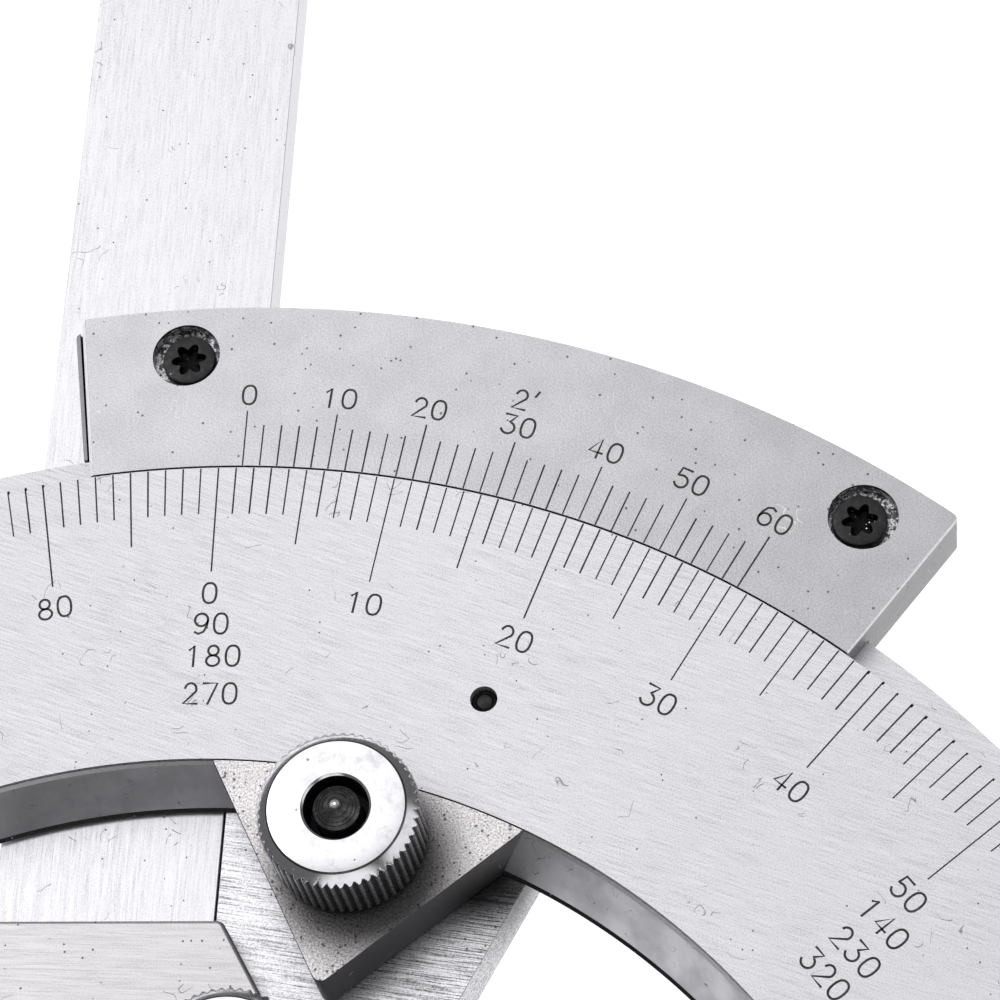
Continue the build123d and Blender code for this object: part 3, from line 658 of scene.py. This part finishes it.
def make_main_scale():
    foot_r, foot_z = WALL_R[1] - FOOT_REACH, PLATE_Z + FOOT_H
    profile = [(FACE_R[0], 0), (FACE_R[1], 0), (FACE_R[1], STRIP_Z), (STRIP_R, STRIP_Z),
               (STRIP_R, PLATE_Z), (foot_r, PLATE_Z), (foot_r, PLATE_Z + 0.05),
               (WALL_R[1] + 0.16, foot_z), (WALL_R[1] + 0.1, foot_z),
               (WALL_R[0], WALL_CHAMFER_Z), (FACE_R[0] - 0.10, DARK_EDGE_Z)]
    piece = ring_sector("main_scale_plate", profile, SCALE_SPAN)
    far, past = STRIP_R + 1, 1.0
    through = (PLATE_Z - past, past)
    cutters = [
        box((0, far), (-past, TAB_Y[1]), (TAB_Z, past)),
        box((0, TAB_X[0]), (-past, TAB_Y[1]), through),
        box((TAB_X[1], far), (-past, TAB_Y[1]), through),
        box((0, far), (-past, TAB_Y[0]), through),
        ring_sector("cutter", ring_profile(RECESS_R, (PLATE_Z - past, RECESS_Z)), RECESS_SPAN),
    ]
    cutters += [rod(polar(GEAR_SCREW_R, a), GEAR_SCREW_HOLE, (RECESS_Z - past, past))
                for a in GEAR_SCREW_ANGLES]
    cutters += [rod((x, BASE_SCREW_Y), 1.0, (PLATE_Z - past, 0)) for x in BASE_SCREW_X]
    cut(piece, cutters)
    bevelled(piece, 0.05, sharp=5.0)

    def on_wall(centre, normal):
        radius = centre.to_2d().length
        return radius < FACE_R[0] + 0.05 and normal.to_2d().dot(centre.to_2d()) < -0.2 * radius
    paint(piece, 1, on_wall)
    # Painted shade: the groove at the wall's foot in black.
    paint(piece, 2, lambda centre, normal: on_wall(centre, normal) and centre.z < foot_z - 0.02)
    paint(piece, 3, lambda centre, normal: on_wall(centre, normal) and centre.z > WALL_CHAMFER_Z)
    paint(piece, 4, lambda centre, normal: on_wall(centre, normal) and centre.z > DARK_EDGE_Z)
    paint(piece, 3, lambda centre, normal: centre.to_2d().length > FACE_R[1] - 0.1 and 0.3 < normal.z < 0.95
          and centre.z > -0.2)
    return dressed(piece, "scale",
                   [scale_steel, inner_wall, painted_shade_black, wall_edge, edge_black], "main_scale")


def make_vernier():
    profile = ring_profile(VERNIER_R, (-VERNIER_T, 0))
    piece = ring_sector("vernier_plate_detail", profile, VERNIER_SPAN, corner=OUTER_CORNER_R)
    cutters = []
    for angle, width in END_CHAMFER.items():
        wedge = box((-width / math.sqrt(2), 2), (VERNIER_R[0] - 3, VERNIER_R[1] + 3), (-2, 2))
        wedge.data.transform(Matrix.Rotation(math.radians(-45), 4, "Y"))
        if angle < 0:
            wedge.data.transform(Matrix.Scale(-1, 4, Vector((1, 0, 0))))
            wedge.data.flip_normals()
        wedge.data.transform(Matrix.Rotation(-math.radians(angle), 4, "Z"))
        cutters.append(wedge)
    for angle in VERNIER_SCREW_ANGLES:
        centre = polar(VERNIER_SCREW_R, angle)
        cutters.append(rod(centre, BORE_R, (-BORE_DEPTH, 1)))
        cutters.append(rod(centre, BORE_R + 0.02, (-BORE_RIM, 1.5)))
        cutters.append(rod(centre, 1.15, (-VERNIER_T - 1, 0), 32))
    cut(piece, cutters)
    bevelled(piece, 0.04, sharp=5.0)

    def in_bore(centre, normal):
        gaps = [(centre - polar(VERNIER_SCREW_R, a)).to_2d().length for a in VERNIER_SCREW_ANGLES]
        return min(gaps) < BORE_R + 0.02 and -VERNIER_T + 0.01 < centre.z < -0.01
    # The counterbores' floors and walls: dark, with painted glints.
    paint(piece, 1, in_bore)
    # Painted shade: the counterbores' walls near the top in black.
    paint(piece, 2, lambda centre, normal: in_bore(centre, normal) and centre.z > -BORE_RIM)
    # Painted shade: the sides and ends take the darker copy of the vernier's steel.
    paint(piece, 3, lambda centre, normal: abs(normal.z) < 0.3 and not in_bore(centre, normal))
    middle = sum(VERNIER_SPAN) / 2
    half = (VERNIER_SPAN[1] - VERNIER_SPAN[0]) / 2

    def on_end_edge(centre, normal):
        angle = math.degrees(math.atan2(centre.x, centre.y))
        return 0.3 < normal.z < 0.95 and abs(angle - middle) > half - 0.3
    paint(piece, 4, on_end_edge)
    # Painted shade: a black line along the top of the left end's edge.
    paint(piece, 2, lambda centre, normal: on_end_edge(centre, normal) and normal.z > 0.85 and centre.x < 0)
    turn_to_reading(piece)
    return dressed(piece, "sector",
                   [vernier_steel, floor_glints, painted_shade_black, shaded_vernier_side, rubbed_edge], "vernier_plate")


def make_spacer():
    profile = ring_profile(SPACER_R, (SPACER_Z, -VERNIER_T))
    piece = ring_sector("vernier_spacer_detail", profile, SPACER_SPAN, corner=OUTER_CORNER_R)
    cutters = [rod(polar(VERNIER_SCREW_R, a), 1.0, (SPACER_Z - 1, 0), 32) for a in VERNIER_SCREW_ANGLES]
    cutters += [rod(polar(SPACER_SCREW_R, a), 1.25, (SPACER_Z - 1, -VERNIER_T - 0.5), 32)
                for a in SPACER_SCREW_ANGLES]
    depth, span = JOINT_SLIT
    slit = ring_profile((SPACER_R[0] - 1, SPACER_R[1] + 1), (-VERNIER_T - depth, 0))
    cutters.append(ring_sector("cutter", slit, span))
    cut(piece, cutters)
    bevelled(piece, 0.03, sharp=5.0)

    def in_slit(centre, normal):
        angle = math.degrees(math.atan2(centre.x, centre.y))
        return span[0] - 0.01 < angle < span[1] + 0.01 and centre.z < -VERNIER_T - 0.04
    inner = SPACER_R[0] + 0.05
    # Painted shade: the inside of the slit in black.
    paint(piece, 1, lambda centre, normal: in_slit(centre, normal) and centre.to_2d().length > inner)
    turn_to_reading(piece)
    # Painted shade: the spacer takes the darker copy of the vernier's steel.
    return dressed(piece, "sector", [shaded_vernier_side, painted_shade_black], "vernier_spacer")


def make_plates():
    """Plates and rulers that keep the CAD shape, with softened edges."""
    sector = refined("sector_plate", "sector_plate_detail", 0.07)
    # Painted shade: the sector plate's sloped top edges in black, darkening the gaps beside it.
    paint(sector, 1, lambda centre, normal: 0.3 < normal.z < 0.95)
    dressed(sector, "sector", [sector_steel, edge_black], "sector_plate")
    dressed(refined("square", "square_detail", 0.04), "square", [blade_steel], "square")
    dressed(refined("base_ruler", "base_ruler_detail", 0.1), "scale",
            [ruler_steel], "base_ruler")
    dressed(refined("straight_ruler", "straight_ruler_detail", 0.1), "straight_ruler",
            [ruler_steel], "straight_ruler")
    dressed(refined("clamp_block", "clamp_block_detail", 0.08), "clamp_block",
            [block_steel], "clamp_block")
    dressed(refined("ruler_clamp_block", "ruler_clamp_block_detail", 0.12), "ruler_clamp_block",
            [block_steel], "ruler_clamp_block")
    dressed(refined("ruler_clamp_frame", "ruler_clamp_frame_detail", 0.15), "square",
            [block_steel], "ruler_clamp_frame")
    brake = refined("brake_plate", "brake_plate_detail", 0.06)
    for vertex in brake.data.vertices:
        if vertex.co.to_2d().length / MM > BRAKE_EDGE_R[0] - 0.1:
            vertex.co.x *= BRAKE_EDGE_R[1] / BRAKE_EDGE_R[0]
            vertex.co.y *= BRAKE_EDGE_R[1] / BRAKE_EDGE_R[0]
    # Painted shade: the brake plate's sides take the darker copy of its steel.
    paint(brake, 1, lambda centre, normal: abs(normal.z) < 0.85)
    dressed(brake, "brake_plate", [brake_steel, shaded_brake_side], "brake_plate")


# ---------------------------------------------------------------- nuts, studs and screws

def quarter(start, end, count=8):
    """Quarter ellipse from a flat start to an upright end, as (radius, z) points."""
    (r0, z0), (r1, z1) = start, end
    turns = steps(0, math.pi / 2, count)
    return [(r0 + (r1 - r0) * math.sin(t), z1 + (z0 - z1) * math.cos(t)) for t in turns]


def knurled(name, profile, place, teeth, outer, depth):
    """Turned outline whose outside is cut by straight knurl grooves up to the radius outer."""
    def radius_at(radius, z, angle):
        wave = 0.5 + 0.5 * math.cos(teeth * angle)
        return min(radius, outer - depth * wave ** 1.2)
    return turned(name, profile, place, teeth * 8, True, radius_at)


def make_nut(kind):
    place, seat, _, body = NUTS[kind]
    low = seat + NUT_GAP
    high = low + NUT_H
    rim, foot = 0.15, 0.5
    crease = high - 0.07
    shoulder = [(NUT_TOP_R, crease)]
    slopes = steps(*SHOULDER_SLOPES, 8)
    for slope in slopes:
        radius, z = shoulder[-1]
        outward = (NUT_R - NUT_TOP_R) / len(slopes)
        shoulder.append((radius + outward, z - outward * math.tan(math.radians(slope))))
    knurl_top = shoulder[-1][1]
    pocket = [(POCKET_R + rim, high), (POCKET_R + rim - 0.03, high - 0.04), (POCKET_R, high - rim)]
    profile = [(NUT_BORE_R, low), (NUT_R - 0.62, low), (NUT_R - 0.5, low + 0.1), (NUT_R - 0.06, low + foot)]
    profile += [(NUT_R, z) for z in steps(low + foot + 0.08, knurl_top - 0.05, 7)]
    profile += shoulder[::-1]
    profile += [(NUT_TOP_R - 0.01, high - 0.015), (NUT_TOP_R - 0.04, high)]
    profile += pocket
    profile += [(POCKET_R, high - POCKET_DEPTH + 0.1), (POCKET_R - 0.1, high - POCKET_DEPTH),
                (NUT_BORE_R, high - POCKET_DEPTH)]
    piece = knurled(body + "_knurled", profile, place, KNURL_TEETH, NUT_R, KNURL_DEPTH)
    centre = Vector((*place, 0))

    def outside(c, n):
        return (c - centre).to_2d().length > NUT_TOP_R + 0.2 and c.z < knurl_top - 0.02
    paint(piece, 1, outside)
    # Painted shade: the inside of the stud pocket in black.
    paint(piece, 2, lambda c, n: (c - centre).to_2d().length < POCKET_R + 0.01 and c.z < high - rim)
    # Painted shade: the knurl's groove roots and the crease under the top take the darkest copy.
    paint(piece, 3, lambda c, n: outside(c, n) and (c - centre).to_2d().length < NUT_R - 0.5 * KNURL_DEPTH)
    paint(piece, 3, lambda c, n: abs((c - centre).to_2d().length - NUT_TOP_R - 0.02) < 0.09 and n.z < 0.95)
    turn_to_reading(piece)
    smooth(piece, 28)
    dressed(piece, body, [chrome, knurl, painted_shade_black, knurl_groove_shade], body)


def make_stud(kind):
    """Rounded stud end with a fine turned ring near its edge, and a painted highlight at its centre."""
    place, seat, body, _ = NUTS[kind]
    node = kind + "_stud"
    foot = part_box(node)[0].z / MM
    top = seat + NUT_GAP + NUT_H + STUD_PAST_TOP
    dome = [(STUD_R * t, top - STUD_ROUND * t ** 1.5) for t in steps(0, 1, 16)]
    for ring in (14, 12, 9, 5):
        dome[ring:ring] = [(dome[ring][0] - 0.03, dome[ring][1] - 0.04)]
    profile = dome + [(STUD_R, foot), (0, foot)]
    piece = turned(node + "_detail", profile, place, 64)
    centre = Vector((*place, 0))
    # Painted highlight: light rings at the centre of the dome.
    paint(piece, 1, lambda c, n: (c - centre).to_2d().length < 0.32 and c.z > top - STUD_ROUND)
    paint(piece, 2, lambda c, n: (c - centre).to_2d().length < 0.11 and c.z > top - STUD_ROUND)
    turn_to_reading(piece)
    smooth(piece, 25)
    dressed(piece, body, [stud_black, stud_highlight_halo, stud_highlight], node)


def star_screw(centre, head_r, top, head_h, shank_r, shank_foot):
    """Screw head with a six-lobed recess: points and faces."""
    count = 144
    radii_in = (0.0, 0.45, 0.8, 0.9, 1.0)
    depths_in = (1.2, 1.15, 0.95, 0.35, 0.0)
    rows = []
    for i in range(count):
        angle = 2 * math.pi * i / count
        lobe = abs(math.cos(STAR_LOBES / 2 * (angle - math.radians(STAR_TURN)))) ** 1.4
        reach = STAR_R + STAR_REACH * lobe
        row = [(reach * t, top - d * STAR_DEPTH) for t, d in zip(radii_in, depths_in)]
        row += [(reach + 0.04, top), (head_r - 0.14, top), (head_r - 0.04, top - 0.05), (head_r, top - 0.16),
                (head_r, top - head_h), (shank_r, top - head_h), (shank_r, shank_foot), (0, shank_foot)]
        rows.append([(centre[0] + r * math.cos(angle), centre[1] + r * math.sin(angle), z) for r, z in row])
    points = [point for row in rows for point in row]
    return points, grid_faces(count, len(rows[0]), True, False)


def make_vernier_screws():
    """The heads sit a little off centre in their bores."""
    floor = -BORE_DEPTH
    pushed = {-3.4: (0.16, -0.2), 32.4: (-0.24, -0.12)}
    centres = [polar(VERNIER_SCREW_R, angle) + Vector((*pushed[angle], 0)) for angle in VERNIER_SCREW_ANGLES]
    parts = []
    for centre in centres:
        parts.append(star_screw(centre, HEAD_R, floor + HEAD_H, HEAD_H, SHANK_R, SPACER_Z + 0.2))
    piece = joined("vernier_screws_detail", parts)

    def in_recess(c, n):
        reach = STAR_R + STAR_REACH + 0.02
        return any((c - at).to_2d().length < reach and c.z < floor + HEAD_H - 0.02 for at in centres)
    # Painted shade and painted glints inside the recesses.
    paint(piece, 1, lambda c, n: in_recess(c, n) and c.z > floor)
    turn_to_reading(piece)
    smooth(piece, 30)
    dressed(piece, "sector", [black, recess_shade], "vernier_screws")


def make_gear_screws():
    """Flush screws that hold the toothed sector; their domed ends show in the graduated face."""
    top, back = GEAR_SCREW_TOP, GEAR_SCREW_BACK
    parts = []
    for angle in GEAR_SCREW_ANGLES:
        x, y, _ = polar(GEAR_SCREW_R, angle)
        dome = quarter((0.0, top), (GEAR_SHANK_R, top - 0.45), 8)
        dome[4:4] = [(dome[4][0] - 0.04, dome[4][1] - 0.06)]
        profile = dome + [(GEAR_SHANK_R, GEAR_HEAD_Z), (GEAR_HEAD_R, back), (0, back)]
        count = 48
        points = []
        for i in range(count):
            turn = 2 * math.pi * i / count
            points += [(x + r * math.cos(turn), y + r * math.sin(turn), z) for r, z in profile]
        parts.append((points, grid_faces(count, len(profile), True, False)))
    piece = smooth(joined("sector_gear_screws_detail", parts), 25)
    dressed(piece, "scale", [black], "sector_gear_screws")


def make_knob():
    """Knurled adjusting knob on the back, with a counterbored seat for its screw."""
    low, high = KNOB_Z
    place = polar(*PINION_AT).to_2d()
    rim = KNOB_RIM
    seat_r, seat_z = KNOB_SEAT_R, low + KNOB_SEAT_DEPTH
    profile = [(KNOB_BORE_R, seat_z), (seat_r, seat_z), (seat_r, low + 0.1), (seat_r + 0.1, low)]
    flat = KNOB_R - rim
    profile += [(flat - 0.2, low), (flat, low + 0.03)]
    profile += [(flat + rim * math.sin(t), low + rim - rim * math.cos(t)) for t in steps(0.3, 1.57, 5)]
    profile += [(KNOB_R, z) for z in steps(low + rim + 0.05, high - rim - 0.05, 5)]
    profile += [(flat + rim * math.cos(t), high - rim + rim * math.sin(t)) for t in steps(0, 1.57, 5)]
    profile += [(KNOB_BORE_R, high)]
    piece = knurled("adjusting_knob_knurled", profile, place, KNOB_TEETH, KNOB_R, KNOB_KNURL_DEPTH)
    centre = Vector((*place, 0))
    paint(piece, 1, lambda c, n: (c - centre).to_2d().length > KNOB_R - 0.4 and abs(n.z) < 0.5)
    turn_to_reading(piece)
    smooth(piece, 35)
    dressed(piece, "pinion", [chrome, knurl], "adjusting_knob")


def make_small_parts():
    """CAD nodes that keep their shape and take a finish of their own."""
    finishes = {"sector_gear": gear_steel, "pinion": gear_steel, "pinion_shaft": gear_steel,
                "pinion_bush": brass}
    for node, material in finishes.items():
        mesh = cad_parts[node].data
        mesh.materials.clear()
        mesh.materials.append(material)
    for node, body, width in (("base_ruler_screws", "scale", 0.05), ("spacer_screws", "sector", 0.08),
                              ("knob_screw", "pinion", 0.08)):
        dressed(refined(node, node + "_detail", width), body, [black], node)


# ---------------------------------------------------------------- graduations and figures

def oval(cx, cy, rx, ry, start=0.0, end=360.0, count=28, power=2.0):
    """Points of an oval, counter-clockwise from +X; a power over 2 squares it up."""
    points = []
    for turn in steps(math.radians(start), math.radians(end), count):
        c, s = math.cos(turn), math.sin(turn)
        points.append((cx + rx * math.copysign(abs(c) ** (2 / power), c),
                       cy + ry * math.copysign(abs(s) ** (2 / power), s)))
    return points


# Strokes of each figure in a box from -0.5 to 0.5 across and 0 to 1 up
STROKES = {
    "0": [oval(0, 0.5, 0.5, 0.5, power=2.4)],
    "1": [[(-0.3, 0.8), (0.02, 1.0), (0.02, 0.0)]],
    "2": [oval(0, 0.71, 0.42, 0.29, 165, -25, 16) + [(-0.5, 0.0), (0.5, 0.0)]],
    "3": [[(-0.42, 1.0), (0.42, 1.0), (-0.02, 0.6)] + oval(-0.03, 0.3, 0.5, 0.3, 72, -155, 18)],
    "4": [[(0.2, 0.0), (0.2, 1.0), (-0.5, 0.27), (0.5, 0.27)]],
    "5": [[(0.42, 1.0), (-0.34, 1.0), (-0.42, 0.55)] + oval(-0.02, 0.32, 0.5, 0.32, 120, -150, 18)],
    "6": [oval(0, 0.31, 0.48, 0.31), [(-0.48, 0.36), (-0.42, 0.62), (-0.2, 0.9), (0.16, 1.0), (0.42, 0.92)]],
    "7": [[(-0.5, 1.0), (0.5, 1.0), (-0.12, 0.0)]],
    "8": [oval(0, 0.76, 0.38, 0.24), oval(0, 0.26, 0.48, 0.26)],
    "9": [oval(0, 0.69, 0.48, 0.31), [(0.48, 0.64), (0.42, 0.38), (0.2, 0.1), (-0.16, 0.0), (-0.42, 0.08)]],
    "'": [[(0.05, 1.08), (-0.12, 0.82)]],
}


def label(text, radius, angle, height=FIGURE_H):
    """Ribbons of a label centred at a radius and angle, reading outward."""
    turn = math.radians(angle)
    across = Vector((math.cos(turn), -math.sin(turn), 0))
    outward = Vector((math.sin(turn), math.cos(turn), 0))
    centre = polar(radius, angle)
    parts = []
    for i, figure in enumerate(text):
        middle = (i - (len(text) - 1) / 2) * FIGURE_ADVANCE
        if figure == "'":
            middle -= 0.3
        for stroke in STROKES[figure]:
            closed = stroke[0] == stroke[-1] or (Vector(stroke[0]) - Vector(stroke[-1])).length < 1e-6
            flat = stroke[:-1] if closed else stroke
            path = [centre + across * (middle + x * FIGURE_W) + outward * (y - 0.5) * height for x, y in flat]
            parts.append(ribbon(path, FIGURE_LINE, closed))
    return parts


def tick(angle, inner, outer, width=LINE_W):
    return ribbon([polar(inner, angle), polar(outer, angle)], width)


def make_scale_marks():
    first, last = -40, 79
    edge = FACE_R[1] - 0.1
    parts = []
    for degree in range(first, last + 1):
        inner = TENTH_R if degree % 10 == 0 else FIFTH_R if degree % 5 == 0 else DEGREE_R
        parts.append(tick(degree, inner, edge, LINE_W * random.uniform(0.85, 1.1)))
        if degree > 38 or degree < -9:
            parts.append(tick(degree + 0.04, edge - 0.06, edge + 0.02, 0.17 * random.uniform(0.6, 1.2)))
    marks = joined("scale_graduations", parts)
    dressed(marks, "scale", [fill])
    rows = {0: (("0", SCALE_LABEL_R, 0), ("90", 62.6, 0.26), ("180", 60.1, 0.57), ("270", 57.2, 0.54)),
            50: (("50", SCALE_LABEL_R, 0), ("140", 62.4, 0.5), ("230", 59.65, 0.8), ("320", 57.05, 0.67)),
            -40: (("50", SCALE_LABEL_R, 0), ("140", 62.5, 0.3), ("230", 60.0, 0.5))}
    parts = []
    for degree in range(first, last + 1, 10):
        plain = str(degree) if degree >= 0 else str(90 + degree)
        for text, radius, aside in rows.get(degree, ((plain, SCALE_LABEL_R, 0),)):
            parts += label(text, radius, degree + math.degrees(aside / radius))
    dressed(joined("scale_figures", parts), "scale", [fill])


def make_vernier_marks():
    divisions, pitch = 30, 29 / 30
    parts = []
    for i in range(divisions + 1):
        outer = VERNIER_FIFTH_R if i % 5 == 0 else VERNIER_TICK_R
        parts.append(tick(i * pitch, VERNIER_R[0] + 0.08, outer, LINE_W * random.uniform(0.85, 1.1)))
    dressed(turn_to_reading(joined("vernier_graduations", parts)), "sector", [fill])
    parts = []
    for i in range(7):
        parts += label(str(i * 10), VERNIER_LABEL_R, 0.03 + i * 4.79, FIGURE_H * 0.97)
    parts += label("2'", 83.0, 14.55, FIGURE_H * 0.97)
    dressed(turn_to_reading(joined("vernier_figures", parts)), "sector", [fill])


# ---------------------------------------------------------------- stage

def make_floor():
    """Pale floor just under the part, clear when seen from below."""
    low = cad_box[0][2] - 0.0002
    reach = 1.2
    mesh = bpy.data.meshes.new("floor")
    mesh.from_pydata([(-reach, -reach, low), (reach, -reach, low), (reach, reach, low), (-reach, reach, low)],
                     [], [(0, 1, 2, 3)])
    floor = bpy.data.objects.new("floor", mesh)
    bpy.context.scene.collection.objects.link(floor)
    material = bpy.data.materials.new("floor_white")
    material.use_nodes = True
    nodes, links = material.node_tree.nodes, material.node_tree.links
    shader = nodes["Principled BSDF"]
    shader.inputs["Base Color"].default_value = (0.5, 0.5, 0.5, 1)
    shader.inputs["Roughness"].default_value = 0.9
    shader.inputs["Emission Color"].default_value = (1, 1, 1, 1)
    shader.inputs["Emission Strength"].default_value = 0.85
    clear = nodes.new("ShaderNodeBsdfTransparent")
    mix = nodes.new("ShaderNodeMixShader")
    links.new(nodes.new("ShaderNodeNewGeometry").outputs["Backfacing"], mix.inputs["Fac"])
    links.new(shader.outputs[0], mix.inputs[1])
    links.new(clear.outputs[0], mix.inputs[2])
    links.new(mix.outputs[0], nodes["Material Output"].inputs["Surface"])
    mesh.materials.append(material)


def make_world():
    """Dim room with three soft bright areas.
    Each has a direction, the cosines where it starts and where it is full, and a strength."""
    areas = (
        (Vector((-0.22, 0.45, 0.86)), 0.62, 0.96, 1.25),
        (Vector((0.10, -0.86, 0.50)), 0.84, 0.96, 0.95),
        (Vector((0.85, -0.10, 0.50)), 0.84, 0.96, 0.85),
    )
    room = 0.14
    world = bpy.data.worlds.new("studio")
    bpy.context.scene.world = world
    world.use_nodes = True
    nodes, links = world.node_tree.nodes, world.node_tree.links
    place = nodes.new("ShaderNodeTexCoord").outputs["Generated"]
    total = None
    for direction, start, full, strength in areas:
        facing = nodes.new("ShaderNodeVectorMath")
        facing.operation = "DOT_PRODUCT"
        links.new(place, facing.inputs[0])
        facing.inputs[1].default_value = direction.normalized()
        fade = nodes.new("ShaderNodeMapRange")
        fade.interpolation_type = "SMOOTHSTEP"
        links.new(facing.outputs["Value"], fade.inputs[0])
        for socket, item in zip(fade.inputs[1:5], (start, full, 0.0, strength)):
            socket.default_value = item
        joint = nodes.new("ShaderNodeMath")
        joint.operation = "ADD"
        links.new(fade.outputs[0], joint.inputs[0])
        if total:
            links.new(total, joint.inputs[1])
        else:
            joint.inputs[1].default_value = room
        total = joint.outputs[0]
    nodes["Background"].inputs["Color"].default_value = (1, 1, 1, 1)
    links.new(total, nodes["Background"].inputs["Strength"])


def make_light(name, place, target, size, power):
    data = bpy.data.lights.new(name, "AREA")
    data.energy = power
    data.shape = "DISK"
    data.size = size
    light = bpy.data.objects.new(name, data)
    bpy.context.scene.collection.objects.link(light)
    light.location = place
    light.rotation_euler = (Vector(target) - Vector(place)).to_track_quat("-Z", "Y").to_euler()


def make_camera():
    """Camera from its place and its three axes in the row frame, in millimetres."""
    place = Vector((55.269, -49.589, 257.927)) * MM
    right = Vector((0.99260124, 0.03477102, -0.11633464))
    up = Vector((0.01801153, 0.90535254, 0.42427864))
    back = Vector((0.12007646, -0.42323487, 0.89802777))
    data = bpy.data.cameras.new("camera")
    data.sensor_width = 36.0
    data.lens = 143.61
    data.clip_start = 0.01
    camera = bpy.data.objects.new("camera", data)
    bpy.context.scene.collection.objects.link(camera)
    turn = Matrix((right, up, back)).transposed().to_4x4()
    camera.matrix_world = Matrix.Translation(place) @ turn
    bpy.context.scene.camera = camera


make_camera()
make_floor()
make_world()
make_light("key", (-0.45, 0.25, 0.60), (0, 0.05, 0), 0.5, 0.9)
make_main_scale()
make_vernier()
make_spacer()
make_plates()
for kind in NUTS:
    make_nut(kind)
    make_stud(kind)
make_vernier_screws()
make_gear_screws()
make_knob()
make_small_parts()
make_scale_marks()
make_vernier_marks()

bpy.context.scene.view_settings.view_transform = "Standard"
bpy.context.view_layer.update()
